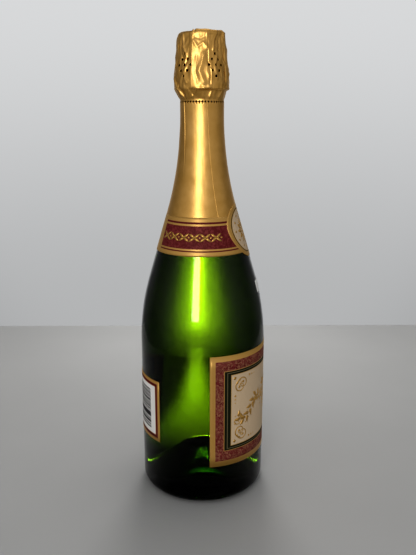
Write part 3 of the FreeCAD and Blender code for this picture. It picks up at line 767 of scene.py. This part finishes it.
def hood_profile():
    """Rows (radius, height, how far it faces up) of the smooth hood, from the tear line up."""
    below = round((VENT_MIDDLE - TAPER_TOP) / ROW_PITCH)
    above = round((HOOD_SHOULDER - VENT_MIDDLE) / ROW_PITCH)
    slit = HOOD_BOTTOM + TEAR_SLIT / 2
    rows = [(FOIL_NECK, HOOD_BOTTOM - EDGE_REACH, 0), (FOIL_NECK, slit, 0)]
    for height in steps(slit, VENT_MIDDLE - (below + 1) * ROW_PITCH, 1)[1:]:
        share = share_of(TAPER_BOTTOM, TAPER_TOP, height)
        rows.append((FOIL_NECK + share * (HOOD_RADIUS - FOIL_NECK), height, 0))
    vent_row = len(rows) + below
    for step in range(-below, above + 1):
        height = VENT_MIDDLE + step * ROW_PITCH
        share = max(0, (height - BAND_TOP) / (HOOD_SHOULDER - BAND_TOP))
        rows.append((HOOD_RADIUS + share * (HOOD_UPPER - HOOD_RADIUS), height, 0))
    inner = HOOD_UPPER - HOOD_CORNER
    for radius, height in arc((0, 0), 1, 22, 68, 23):
        rows.append((inner + HOOD_CORNER * radius, HOOD_SHOULDER + HOOD_CORNER * height, height))
    rows += [(radius, HOOD_TOP, 1) for radius in steps(inner, 0.8, 1.4)]
    return rows, vent_row


def vent_places(vent_row):
    """Columns and rows of the vent holes, in groups with fewer holes away from the middle."""
    for group in range(VENT_GROUPS):
        middle = (VENT_AZIMUTH + group * FULL_TURN // VENT_GROUPS) // COLUMN_TURN
        for row in range(1 - VENT_WIDEST, VENT_WIDEST):
            across = VENT_WIDEST - abs(row)
            for hole in range(across):
                column = (middle + (2 * hole - across + 1) * VENT_HALF_STEP) % COLUMNS
                yield column, vent_row + row * ROWS_PER_VENT


def hood_sheet(rows, vent_row):
    """The hood drawn flat: points (column, row) and faces, with its vent holes and tear slits."""
    width = COLUMNS + 1
    points = [(column, row, 0) for row in range(len(rows)) for column in range(width)]
    faces = []
    cut = set()
    for column, row in vent_places(vent_row):
        cut.update((column + right, row + up) for right in range(-2, 2) for up in (-1, 0))
        column_pitch = COLUMN_TURN * radians(1) * rows[row][0]
        start = len(points)
        rim = []
        for right, up in VENT_BORDER:
            turn = atan2(up * ROW_PITCH, right * column_pitch)
            points.append((column + VENT_RADIUS * cos(turn) / column_pitch,
                           row + VENT_RADIUS * sin(turn) / ROW_PITCH, 0))
            rim.append((row + up) * width + column + right)
        for index in range(len(rim)):
            follow = (index + 1) % len(rim)
            faces.append((rim[index], rim[follow], start + follow, start + index))
    for face in grid_faces(width, len(rows)):
        row, column = divmod(face[0], width)
        slit = row == 0 and column % 4 < 2
        if not slit and (column, row) not in cut:
            faces.append(face)
    return points, faces


def ridged(azimuth, spread, level):
    """Smooth hollows between sharp crests, from about -1 to 1, more of them for a larger spread."""
    return 1 - 3.2 * abs(noise.noise(around(azimuth, spread, level)))


def vent_dent(azimuth, height):
    """How deep the foil is pressed in around the nearest vent hole, from 0 to 1."""
    step = COLUMN_TURN * VENT_HALF_STEP
    across = from_nearest(azimuth, VENT_AZIMUTH, VENT_GROUPS) / step
    up = (height - VENT_MIDDLE) / VENT_ROW
    row = round(up)
    column = 2 * round((across - row) / 2) + row
    if abs(row) + abs(column) >= VENT_WIDEST:
        return 0
    away = hypot((across - column) * step * HOOD_DEGREE, (up - row) * VENT_ROW)
    return exp(-(away / VENT_DENT) ** 2)


def hood_floor(azimuth, height):
    """How far the foil has to stay from the axis to clear what it covers."""
    if height < TAPER_TOP:
        return FOIL_NECK
    if abs(angle_between(azimuth, KEY_AZIMUTH)) < KEY_HALF_ANGLE and height < KEY_TOP:
        return KEY_OUTER + FOIL_ROOM
    if abs(from_nearest(azimuth, LEG_AZIMUTH, LEGS)) < LEG_HALF_ANGLE:
        share = share_of(RING_TOP, HOOD_SHOULDER, height)
        return LEG_OUTER_LOW + share * (LEG_OUTER_HIGH - LEG_OUTER_LOW) + FOIL_ROOM
    return (RING_RADIUS if height < RING_TOP + 1 else LIP_RADIUS) + FOIL_ROOM


def seam_step(facing, height):
    """Rise of the overlap: it builds up to the seam, which jogs half way up, and drops there."""
    jog = SEAM_JOG * (1 - smooth_step(*SEAM_JOG_HEIGHTS, height))
    away = SEAM_FACING + jog - facing
    return 1 - away / SEAM_WIDTH if 0 < away < SEAM_WIDTH else 0


def fold_rise(facing, height):
    """Height of the sharp folds at a place: each rises from its flanks to its line."""
    total = 0
    for rise, width, places in HOOD_FOLDS:
        if abs(angle_between(facing, places[0][0])) > FOLD_REACH:
            continue
        nearest = width
        for (start, low), (end, high) in zip(places, places[1:]):
            here = Vector((angle_between(facing, start) * HOOD_DEGREE, height - low))
            run = Vector(((end - start) * HOOD_DEGREE, high - low))
            share = share_of(0, run.length_squared, here.dot(run))
            nearest = min(nearest, (here - share * run).length)
        total += rise * (1 - nearest / width) ** 1.2
    return total


def taper_radius(facing, radius, height):
    """The taper is a plain cone on one side and drawn in tight under the band on the other."""
    share = (height - TAPER_BOTTOM) / (TAPER_TOP - TAPER_BOTTOM)
    if not 0 < share < 1:
        return radius
    tight = between(TIGHT_START, TIGHT_END, facing)
    drawn = 0.45 * share + 0.55 * smooth_step(0.82, 1.0, share)
    return FOIL_NECK + (share + tight * (drawn - share)) * (HOOD_RADIUS - FOIL_NECK)


def crinkle(azimuth, bent, facing, height):
    """How far the foil stands out: hollows between the legs, crests, the seam, dents at vents."""
    leg = from_nearest(azimuth, LEG_AZIMUTH, LEGS)
    ridge = exp(-abs(leg) / (LEG_FALL_LEFT if leg < 0 else LEG_FALL_RIGHT))
    hollow = HOLLOW_LOW + HOLLOW_MORE_ABOVE * smooth_step(BAND_TOP - 4, BAND_TOP + 6, height)
    calm = 1 - CALM_SHARE * between(CALM_START, CALM_END, facing)
    broad = BROAD_CRESTS * ridged(bent, 2.0, height / 19)
    close = CLOSE_CRESTS * ridged(bent, 4.6, height / 8 + 7)
    fine = FINE_CRINKLE * noise.noise(around(azimuth, 13, height / 2.2))
    seam = SEAM_RISE * seam_step(facing, height)
    dent = VENT_DEPTH * vent_dent(azimuth, height)
    return calm * (broad + close) + fine + seam - hollow * (1 - ridge) - dent


def hood_point(azimuth, radius, height, up):
    """The crinkled place of a point of the smooth hood; the top has a flap and a low middle."""
    facing = angle_between(azimuth, CAMERA_AZIMUTH)
    across = sin(radians(facing))
    on_hood = smooth_step(TAPER_TOP - 1, TAPER_TOP + 1.5, height)
    on_taper = smooth_step(HOOD_BOTTOM + 0.6, HOOD_BOTTOM + 3, height)
    bent = azimuth + 9 * noise.noise(around(azimuth, 1.4, height / 10))
    shift = crinkle(azimuth, bent, facing, height)
    pleat = TAPER_PLEATS * ridged(bent, 3.2, 40 + height / 14) * (1 - on_hood)
    fold = fold_rise(facing, height)
    out = taper_radius(facing, radius, height)
    out += ((shift - LEAN * across) * on_hood + (pleat + fold) * on_taper) * (1 - up)
    lift = TOP_CRINKLE * shift * up
    if up > 0.3:
        right = radius * across - FLAP_LEFT
        lift += FLAP_LIFT * up * smooth_step(0, 0.8, right)
        lift += FLAP_CREASE * up * max(0, 1 - abs(right + 1) / 0.7)
        lift -= TOP_HOLLOW * (1 - smooth_step(7, 11, radius))
    if up < 0.7:
        out = max(out, hood_floor(azimuth, height))
    return around(azimuth, out, height + lift)


def make_foil_hood():
    """A sheet drawn flat, then wrapped and crinkled."""
    rows, vent_row = hood_profile()
    piece = new_object("foil_hood_crinkled", *hood_sheet(rows, vent_row), foil, outwards=False, unit=1)
    with edited(piece.data) as shape:
        drop_loose(shape)
        bmesh.ops.subdivide_edges(shape, edges=shape.edges, cuts=1, use_grid_fill=True)
        for vert in shape.verts:
            column, row = vert.co.xy
            low = min(int(row), len(rows) - 2)
            pairs = zip(rows[low], rows[low + 1])
            radius, height, up = (before + (row - low) * (after - before) for before, after in pairs)
            vert.co = hood_point(COLUMN_TURN * (column % COLUMNS), radius, height, up) * MM
        bmesh.ops.remove_doubles(shape, verts=shape.verts, dist=WELD)
        top = [edge for edge in shape.edges if edge.is_boundary and all(
            vert.co.xy.length < 2 * MM for vert in edge.verts)]
        bmesh.ops.holes_fill(shape, edges=top, sides=0)
        turn_outwards(shape)
    piece.data.shade_smooth()
    thicken(piece, FOIL)
    dress(piece, "hood", "gold_foil", "foil_hood")


make_foil_hood()


# Labels

# A print is a list of strips, each between two equally long lists of flat points

def ribbon(spine, headings, halves):
    """A strip along a spine, given its direction and half width at each point."""
    sides = [Vector((-along.y, along.x)) * half for along, half in zip(headings, halves)]
    return ([spot + side for spot, side in zip(spine, sides)],
            [spot - side for spot, side in zip(spine, sides)])


def stroke(route, width):
    """A line that thins out towards its end."""
    last = len(route) - 1
    places = range(len(route))
    headings = [(route[min(place + 1, last)] - route[max(place - 1, 0)]).normalized() for place in places]
    return ribbon(route, headings, [width / 2 * (1 - 0.6 * place / len(route)) for place in places])


def leaf(foot, heading, length, width):
    """A pointed oval from its foot along a heading in degrees."""
    along = ray(heading)
    shares = (0.0, 0.12, 0.28, 0.45, 0.62, 0.8, 1.0)
    return ribbon([foot + along * (length * share) for share in shares], [along] * len(shares),
                  [width / 2 * sin(pi * share ** 0.8) for share in shares])


def disc(middle, radius, hole=0.02, corners=18):
    rays = [ray(FULL_TURN * corner / corners) for corner in range(corners + 1)]
    return [middle + way * radius for way in rays], [middle + way * hole for way in rays]


def lozenge(middle, half):
    right = Vector((half, 0))
    up = Vector((0, half))
    return [middle - right, middle + up], [middle - up, middle + right]


def spiral(radius, left, start, turn, count):
    """Points of a spiral about the origin that winds in until a share of its radius is left."""
    shares = [step / (count - 1) for step in range(count)]
    return [ray(start + turn * share) * (radius * (1 - (1 - left) * share)) for share in shares]


def make_print(name, strips, surface):
    """Lay a print in gold on a label, given the label's face as a function of x, y and lift."""
    points = []
    faces = []
    for left, right in strips:
        faces += grid_faces(len(left), 2, len(points))
        points += [surface(spot.x, spot.y, PRINT) for spot in left + right]
    piece = new_object(name, points, faces, gold_print, outwards=False)
    with edited(piece.data) as shape:
        shape.normal_update()
        flip = [face for face in shape.faces if face.normal.xy.dot(face.calc_center_median().xy) < 0]
        bmesh.ops.reverse_faces(shape, faces=flip)
        bmesh.ops.dissolve_degenerate(shape, edges=shape.edges, dist=0.001 * MM)
    thicken(piece, PRINT * 0.9)
    dress(piece, "bottle", "label_paper")


def make_paper(name, flat, faces, surface, material, slot, *nodes):
    """Paper cut out flat and laid on a surface, with a UV map in metres."""
    piece = new_object(name, [surface(x, y, 0) for x, y in flat], faces, material, outwards=False)
    layer = piece.data.uv_layers.new(name="paper")
    for loop in piece.data.loops:
        layer.data[loop.index].uv = Vector(flat[loop.vertex_index]) * MM
    thicken(piece, PAPER)
    dress(piece, "bottle", slot, *nodes)


def grid(xs, ys):
    """Flat points row by row, and the faces between them."""
    return [(x, y) for y in ys for x in xs], grid_faces(len(xs), len(ys))


FRONT_WIDTH = 112
BACK_WIDTH = 90
FRONT_FRAMES = [
    (3.9, 3.9, veined_marble), (9.8, 10.9, GOLD), (10.3, 11.3, GREEN_BLACK), (12.2, 12.4, OLIVE),
    (12.7, 12.8, GREEN_BLACK), (15.0, 14.1, GOLD), (15.4, 14.5, CREAM),
]
BACK_FRAMES = [(2.3, 2.3, MAROON), (4.3, 4.3, GOLD), (4.6, 4.6, WHITE_PAPER)]
SCROLL_INSET = Vector((18, 17))
CLUSTER_RISE = 5
BERRY = 1.9
STICKER_AZIMUTH = 6.5
STICKER_HALF = 9


def spray(mirror):
    """A leafy tendril that winds away from the middle of the label and ends in a curl."""
    leaves = 17
    curl_radius = 4.2

    def spot(share):
        return Vector((mirror * (9 + 27 * share), 6.5 * sin(tau * 0.95 * share) - 2))
    yield stroke([spot(step / 48) for step in range(49)], 0.9)
    for index in range(leaves):
        share = (index + 0.6) / (leaves + 0.5)
        foot = spot(share)
        ahead = spot(share + 0.02) - foot
        heading = degrees(atan2(ahead.y, ahead.x))
        side = 1 if index % 2 else -1
        yield leaf(foot, heading + side * 48, 6.6 - 0.1 * index, 2.3)
        yield disc(foot + Vector((0, side * 3.4)), 0.5, corners=10)
    top = spot(1.0) - Vector((0, curl_radius))
    curl = [top + Vector((mirror * away.x, away.y)) for away in spiral(curl_radius, 0.2, 90, 420, 40)]
    yield stroke(curl, 0.8)
    yield disc(curl[-1], 0.8, corners=12)


def grape_cluster(middle, berry):
    """Berries in rows that narrow downwards, with a stalk and two pairs of leaves."""
    for row in range(5):
        count = 5 - row
        for index in range(count):
            across = (index - (count - 1) / 2) * 2.15 * berry
            yield disc(middle + Vector((across, -row * 1.9 * berry)), berry, 0.45 * berry)
    top = middle + Vector((0, 1.2 * berry))
    yield stroke([top + Vector((0, step * 0.8)) for step in range(6)], 0.9)
    for heading in (12, 40, 140, 168):
        yield leaf(top + Vector((0, 1.4)), heading, 8.5, 3.0)


def corner_scroll(corner, across, up):
    """Two spirals that part from a corner of the label's field, with dots along them."""
    radius = 4.6
    yield lozenge(corner, 1.3)

    def inside(along, inwards, level):
        """A place counted from the corner along one side or the other."""
        flat = (along, inwards) if level else (inwards, along)
        return corner - Vector((across * flat[0], up * flat[1]))
    for level in (True, False):
        winding = spiral(radius, 0.22, 180, -470, 44)
        scroll = [inside(6.6 + away.x, radius - away.y, level) for away in winding]
        yield stroke(scroll, 0.9)
        yield disc(scroll[-1], 0.9, corners=12)
        for dot in range(3):
            yield disc(inside(13 + 2.6 * dot, 0.4, level), 0.75 - 0.15 * dot, corners=12)


def make_body_label(side, azimuth, width, layers, frames):
    """A label on the round body. Gives back half its height, and its face."""
    node = side + "_label"
    low, high = heights_of(node)
    half = (high - low) / 2

    def surface(x, y, lift):
        turn = azimuth + degrees(x / BODY_RADIUS)
        return around(turn, BODY_RADIUS + SKIN_GAP + PAPER + lift, low + half + y)
    paper = printed_paper("label_paper_" + side, layers, width, 2 * half, frames)
    flat, faces = grid(steps(-width / 2, width / 2, 1.6), steps(-half, half, 8))
    make_paper(node + "_paper", flat, faces, surface, paper, "label_paper", node)
    return half, surface


def make_body_labels():
    half, surface = make_body_label("front", 0, FRONT_WIDTH, frame_layers, FRONT_FRAMES)
    corner = Vector((FRONT_WIDTH / 2, half)) - SCROLL_INSET
    strips = list(grape_cluster(Vector((0, CLUSTER_RISE)), BERRY))
    for across in (1, -1):
        strips += spray(across)
        for up in (-1, 1):
            strips += corner_scroll(Vector((across * corner.x, up * corner.y)), across, up)
    make_print("front_label_ornament", strips, surface)
    make_body_label("back", 180, BACK_WIDTH, ruled_layers, BACK_FRAMES)


def make_sticker():
    low, high = heights_of("price_sticker")

    def surface(x, y, lift):
        across = STICKER_AZIMUTH + degrees(x / line_radius(low))
        return around(across, line_radius(y, SKIN_GAP + PAPER + lift), y)
    paper = mottled_material("white_paper", 1500.0, (0.74, 0.73, 0.70), (0.84, 0.83, 0.80), (0.6, 0.6))
    flat, faces = grid(steps(-STICKER_HALF, STICKER_HALF, 1), steps(low, high, 1))
    make_paper("price_sticker_paper", flat, faces, surface, paper, "white_paper", "price_sticker")


BAND_TOP_EDGE = 198.8
BAND_BOTTOM_EDGE = 174.2
BAND_DEGREE = radians(1) * line_radius((BAND_TOP_EDGE + BAND_BOTTOM_EDGE) / 2)
BAND_HALF = 164 * BAND_DEGREE
BAND_END = 70
MEDAL_RADIUS = 17.9
MEDAL_MIDDLE = 188.1
MEDAL_CORNERS = 72
PETALS = 12
LINK_TURN = 15
LINKS_EACH_WAY = 9
LINK_ROOM = 4
NECK_PAPER = 2 * SKIN_GAP + FOIL + PAPER
FIELD_LOW = 4.7
FIELD_HIGH = 19.2
BAND_STRIPES = [(2.8, MAROON), (3.6, GOLD), (FIELD_LOW, marble), (FIELD_HIGH, GOLD), (20.5, MAROON),
                (21.7, GOLD)]
MEDAL_RINGS = [(14.9, GREEN_BLACK), (14.4, GOLD), (14.0, CREAM)]


def band_surface(x, y, lift):
    """The neck label's face: x along the middle of the band, y a height above its lower edge."""
    height = BAND_BOTTOM_EDGE + y
    return around(x / BAND_DEGREE, line_radius(height, NECK_PAPER + lift), height)


def medal_surface(x, y, lift):
    """The medallion's face: x and y as seen from the front."""
    height = MEDAL_MIDDLE + y
    azimuth = degrees(asin(x / line_radius(height, NECK_PAPER)))
    return around(azimuth, line_radius(height, NECK_PAPER + PRINT + lift), height)


def band_layers(shader, x, y):
    """Level stripes, with plain gold at both ends of the band."""
    stripes = [(beyond(shader, y, start), tint) for start, tint in BAND_STRIPES]
    return stripes + [(beyond(shader, shader.math("ABSOLUTE", x), BAND_END), GOLD)]


def medal_layers(shader, x, y):
    """Rings about the middle, each inside the one before."""
    flat = shader.node("CombineXYZ", X=x, Y=y).outputs[0]
    away = shader.math("LENGTH", flat, kind="VectorMath")
    inwards = shader.math("SUBTRACT", 0.0, away)
    return [(beyond(shader, inwards, -start), tint) for start, tint in MEDAL_RINGS]


def rosette():
    for petal in range(PETALS):
        turn = petal * FULL_TURN / PETALS
        yield leaf(ray(turn) * 2.6, turn, 6.2, 2.6)
        yield disc(ray(turn) * 11.4, 0.8, corners=10)
    yield disc(Vector((0, 0)), 2.0, 0.9)


def chain():
    pitch = LINK_TURN * BAND_DEGREE
    for link in range(-LINKS_EACH_WAY, LINKS_EACH_WAY + 1):
        spot = Vector((link * pitch, (FIELD_LOW + FIELD_HIGH) / 2))
        if abs(spot.x) < MEDAL_RADIUS + LINK_ROOM:
            continue
        for heading in (35, 145, 215, 325):
            yield leaf(spot, heading, 4.6, 1.7)
        yield disc(spot, 1.0, corners=12)
        yield disc(spot + Vector((pitch / 2, 0)), 0.7, corners=10)


def make_medallion():
    rings = steps(MEDAL_RADIUS, 0.6, 1.2)
    corners = [ray(FULL_TURN * corner / MEDAL_CORNERS) for corner in range(MEDAL_CORNERS)]
    flat = [tuple(way * ring) for ring in rings for way in corners]
    faces = grid_faces(MEDAL_CORNERS, len(rings), ring=True)
    faces.append(tuple(range(len(flat) - MEDAL_CORNERS, len(flat))))
    paper = printed_paper("label_paper_medal", medal_layers)
    make_paper("neck_label_medallion", flat, faces, medal_surface, paper, "label_paper")
    make_print("neck_label_rosette", rosette(), medal_surface)


def make_neck_label():
    xs = steps(-BAND_HALF, BAND_HALF, 2 * BAND_DEGREE)
    ys = steps(0, BAND_TOP_EDGE - BAND_BOTTOM_EDGE, 1.2)
    paper = printed_paper("label_paper_neck", band_layers)
    make_paper("neck_label_band", *grid(xs, ys), band_surface, paper, "label_paper", "neck_label")
    make_medallion()
    make_print("neck_label_chain", chain(), band_surface)


make_body_labels()
make_sticker()
make_neck_label()


# Cork

CORK_RADIUS = BORE_RADIUS - 0.05
CORK_HEAD_RADIUS = 13.8
CORK_HEAD_BOTTOM = GLASS_HEIGHT + 0.3
CORK_ROUNDING = 1.2
CORK_CHAMFER = 0.3
DISC_CHAMFER = 0.15
CORK_PITS = 0.12


def cork_rough(azimuth, radius, height):
    return CORK_PITS * min(0, noise.noise(around(azimuth, 9, height / 1.6)))


def cork_side(low, high, chamfer, pitch):
    """The chamfered foot and the straight side of a piece of cork."""
    line = [(0, low), (CORK_RADIUS - chamfer, low), (CORK_RADIUS, low + chamfer)]
    return line + [(CORK_RADIUS, height) for height in steps(low + chamfer, high, pitch)[1:]]


def make_cork():
    low, high = heights_of("cork_stem")
    rim = CORK_HEAD_RADIUS - CORK_ROUNDING
    head_low = CORK_HEAD_BOTTOM + CORK_ROUNDING
    head_high = high - CORK_ROUNDING
    line = cork_side(low, CORK_HEAD_BOTTOM, CORK_CHAMFER, 1)
    line += arc((rim, head_low), CORK_ROUNDING, -90, 0, 22)
    line += [(CORK_HEAD_RADIUS, height) for height in steps(head_low, head_high, 1)[1:-1]]
    line += arc((rim, head_high), CORK_ROUNDING, 0, 90, 22)
    line += [(rim * 0.6, high), (0, high)]
    dress(lathe("cork_pressed", line, pressed_cork, cork_rough), "cork", "pressed_cork", "cork_stem")
    for node in ("cork_disc_lower", "cork_disc_upper"):
        low, high = heights_of(node)
        line = cork_side(low, high - DISC_CHAMFER, DISC_CHAMFER, 0.9)
        line += [(CORK_RADIUS - DISC_CHAMFER, high), (0, high)]
        dress(lathe(node + "_cut", line, natural_cork, cork_rough), "cork", "natural_cork", node)


make_cork()


# Wire cage

WIRE_RADIUS = 0.4
STRAND_RADIUS = 0.36
STRAND_OFFSET = 0.34
TWIST_PITCH = 4.2
CAP_BOTTOM = heights_of("cage_cap")[0]
CAP_THICKNESS = 0.4
CAP_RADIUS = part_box("cage_cap")[1].x / MM
LEG_TOP = 314.8
LEG_UPPER = 14.65
LEG_LOWER = 16.85
LEG_BEND = 1.9
BELT_RADIUS = 15.7
BELT_HEIGHT = 282.65
HOOK_RADIUS = 1.15
TOP_RING_RADIUS = 11.2
KEY_RADIUS = 16.95
KEY_STEM_TOP = BELT_HEIGHT + 3.6
KEY_LOOP = 3.1


def even_route(corners, pitch):
    """Points along a chain of (radius, height) corners, evenly spaced."""
    route = []
    for first, last in zip(corners, corners[1:]):
        count = max(1, round(dist(first, last) / pitch))
        for step in range(count):
            route.append([start + step / count * (end - start) for start, end in zip(first, last)])
    return route + [corners[-1]]


def twisted_pair(route):
    """Two strands wound about a route of points."""
    parts = []
    for strand in (0, 1):
        wound = []
        run = 0
        before = route[0]
        for spot, side, over in carried(route):
            run += (spot - before).length
            before = spot
            turn = tau * run / TWIST_PITCH + pi * strand
            wound.append(spot + (side * cos(turn) + over * sin(turn)) * STRAND_OFFSET)
        parts.append(tube(wound, STRAND_RADIUS, 8))
    return parts


def leg_route():
    slope = degrees(atan((LEG_LOWER - LEG_UPPER) / (LEG_TOP - LEG_BEND - RING_TOP)))
    corners = [(TOP_RING_RADIUS, LEG_TOP)]
    corners += arc((LEG_UPPER - LEG_BEND, LEG_TOP - LEG_BEND), LEG_BEND, 90, slope, 15)
    corners += arc((LEG_LOWER - LEG_BEND, RING_TOP), LEG_BEND, slope, 0, 4)
    corners += arc((BELT_RADIUS, BELT_HEIGHT), HOOK_RADIUS, 0, -90, 15)
    return even_route(corners, 0.35)


def wire_ring(radius, height):
    route = [around(azimuth, radius, height) for azimuth in range(0, FULL_TURN, 4)]
    return tube(route, WIRE_RADIUS, closed=True)


def make_cage():
    frame_wires = []
    for leg in range(LEGS):
        azimuth = LEG_AZIMUTH + leg * FULL_TURN / LEGS
        frame_wires += twisted_pair([around(azimuth, radius, height) for radius, height in leg_route()])
    frame_wires.append(wire_ring(TOP_RING_RADIUS, LEG_TOP))
    dress(new_object("cage_frame_wires", *join(frame_wires), wire), "cage", "cage_wire", "cage_frame")
    belt = new_object("cage_belt_wire", *wire_ring(BELT_RADIUS, BELT_HEIGHT), wire)
    dress(belt, "cage", "cage_wire", "cage_belt")
    stem = [around(KEY_AZIMUTH, KEY_RADIUS, height) for height in
            steps(BELT_HEIGHT - 0.35, KEY_STEM_TOP + 0.3, 0.3)]
    middle = around(KEY_AZIMUTH, KEY_RADIUS, KEY_STEM_TOP + KEY_LOOP)
    across = around(KEY_AZIMUTH + 90, 1, 0)
    loop = []
    for turn in range(0, FULL_TURN, 8):
        way = ray(turn) * KEY_LOOP
        loop.append(middle + across * way.y - Vector((0, 0, way.x)))
    key = twisted_pair(stem) + [tube(loop, WIRE_RADIUS, closed=True)]
    dress(new_object("cage_key_wire", *join(key), wire), "key", "cage_wire", "cage_key")


def make_cap():
    """A pressed plate with a raised middle, a pressed ring in it and a rounded edge."""
    dome = 9
    foot = dome + 0.8
    rise = 0.5
    half = CAP_THICKNESS / 2
    top = CAP_BOTTOM + CAP_THICKNESS
    roof = top + rise
    groove = roof - 0.25
    ring = 6
    line = [(0, CAP_BOTTOM + rise), (dome, CAP_BOTTOM + rise), (foot, CAP_BOTTOM)]
    line += arc((CAP_RADIUS - half, CAP_BOTTOM + half), half, -90, 90, 30)
    line += [(foot, top), (dome, roof), (dome - 0.5, roof), (ring + 0.5, roof), (ring + 0.2, groove),
             (ring - 0.2, groove), (ring - 0.5, roof), (0, roof)]
    dress(lathe("cage_cap_pressed", line, cap_metal), "cage", "cap_metal", "cage_cap")


make_cage()
make_cap()


# Floor, light and camera

FLOOR_HALF = 365 * MM
FLOOR_EDGE = 6 * MM
FLOOR_DEPTH = 36 * MM
BEHIND = CAMERA_AZIMUTH + 178.5

# Soft patches of light behind the glass: name, size, power, width of the fade across, middle and width of the
# fade along as shares of the size, then distance from the axis, height and tilt
GLOWS = [
    ("near_glow", (0.10, 0.24), 0.68, 6 * MM, 0.6, 0.25, 0.17, 0.001, 180),
    ("far_glow", (0.24, 0.16), 1.15, 28 * MM, 0.6, 0.27, 0.34, 0.001, 180),
    ("far_core", (0.05, 0.16), 0.55, 9 * MM, 0.6, 0.16, 0.34, 0.002, 180),
    ("wall_glow", (0.30, 0.09), 22.0, 32 * MM, 0.5, 0.4, 0.362, 0.105, 90),
]


def make_floor():
    """A plain pale table top, square to the camera, with a rounded edge."""
    mesh = bpy.data.meshes.new("floor")
    half = FLOOR_DEPTH / 2
    turn = Matrix.Rotation(radians(CAMERA_AZIMUTH), 4, "Z")
    stretch = Matrix.Diagonal((FLOOR_HALF, FLOOR_HALF, half, 1))
    with edited(mesh) as slab:
        bmesh.ops.create_cube(slab, size=2, matrix=Matrix.Translation((0, 0, -half)) @ turn @ stretch)
        bmesh.ops.bevel(slab, geom=slab.edges, offset=FLOOR_EDGE, segments=4, affect="EDGES")
    pale = mottled_material("floor", 9.0, (0.41, 0.406, 0.398), (0.45, 0.446, 0.437), (0.7, 0.7))
    mesh.materials.append(pale)
    floor = linked("floor", mesh)


def area_light(name, size, power):
    lamp = bpy.data.lights.new(name, "AREA")
    lamp.shape = "RECTANGLE"
    lamp.size, lamp.size_y = size
    lamp.energy = power
    return linked(name, lamp)


def soft_light(name, azimuth, reach, height, size, power, aim):
    """A soft light at an azimuth from the bottle, aimed at a height of its axis."""
    light = area_light(name, size, power)
    light.location = around(azimuth, reach, height)
    light.rotation_euler = (Vector((0, 0, aim)) - light.location).to_track_quat("-Z", "Y").to_euler()
    return light


def glow(name, size, power, across, middle, along, reach, height, tilt):
    """A soft patch of light that only shows through the glass, brightest at its middle."""
    patch = area_light(name, size, power)
    patch.location = around(BEHIND, reach, height)
    patch.rotation_euler = (radians(tilt), 0, radians(BEHIND))
    for kind in ("camera", "glossy", "diffuse", "volume_scatter"):
        setattr(patch, "visible_" + kind, False)
    shader = Shader(patch.data, "Emission")
    place = shader.node("SeparateXYZ", Vector=shader.node("NewGeometry").outputs["Parametric"]).outputs

    def bell(value, centre, width):
        away = shader.math("DIVIDE", shader.math("SUBTRACT", value, centre), width)
        return shader.math("MULTIPLY", shader.math("MULTIPLY", away, away), -0.5)
    total = shader.math("ADD", bell(place[0], 0.5, across / size[0]), bell(place[1], middle, along))
    shader.set(Strength=shader.math("EXPONENT", total))


def make_world():
    """A grey room, lighter in front than at the sides, with a pale wall behind."""
    world = bpy.data.worlds.new("room")
    shader = Shader(world, "Background")
    towards = shader.node("TexCoord").outputs["Generated"]
    back = around(CAMERA_AZIMUTH + 180, 1, 0)
    up = Vector((0, 0, 1))

    def fade(axis, low, high, dim, bright):
        along = shader.math("DOT_PRODUCT", towards, axis, kind="VectorMath")
        return shader.span(along, low, high, dim, bright, "SMOOTHSTEP")
    room = shader.math("MULTIPLY", fade(back, -0.5, 0.35, 0.47, 0.23), fade(up, -0.22, 0.02, 0.75, 1.0))
    wall = shader.math("MULTIPLY", fade(back, 0.68, 0.95, 0, 0.42), fade(up, -0.3, 0.2, 0.9, 1.25))
    shader.set(Color=(0.98, 0.99, 1.0), Strength=shader.math("MAXIMUM", room, wall))
    bpy.context.scene.world = world


def make_light():
    make_world()
    soft_light("front_soft", CAMERA_AZIMUTH - 13, reach=1.2, height=0.42, size=(0.30, 0.60),
               power=3.9, aim=0.2)
    soft_light("top_soft", CAMERA_AZIMUTH + 150, reach=0.5, height=1.6, size=(0.9, 0.9),
               power=2.5, aim=0.1)
    back = soft_light("back_soft", BEHIND, reach=0.42, height=0.36, size=(0.16, 0.16),
                      power=0.8, aim=0.05)
    back.visible_glossy = False
    back.visible_transmission = False
    for patch in GLOWS:
        glow(*patch)


def make_camera():
    lens = bpy.data.cameras.new("photo_camera")
    lens.lens = CAMERA_LENS
    camera = linked("photo_camera", lens)
    camera.location = around(CAMERA_AZIMUTH, CAMERA_REACH, CAMERA_HEIGHT) * MM
    camera.rotation_euler = (radians(90 - CAMERA_PITCH), 0, radians(CAMERA_AZIMUTH - CAMERA_YAW))
    bpy.context.scene.camera = camera


def make_tones():
    """Deep blacks and strong contrast, as in a snapshot."""
    view = bpy.context.scene.view_settings
    view.view_transform = "Standard"
    view.look = "High Contrast"
    view.use_curve_mapping = True
    view.curve_mapping.black_level = (0.008, 0.008, 0.008)
    view.curve_mapping.update()


make_floor()
make_light()
make_camera()
make_tones()
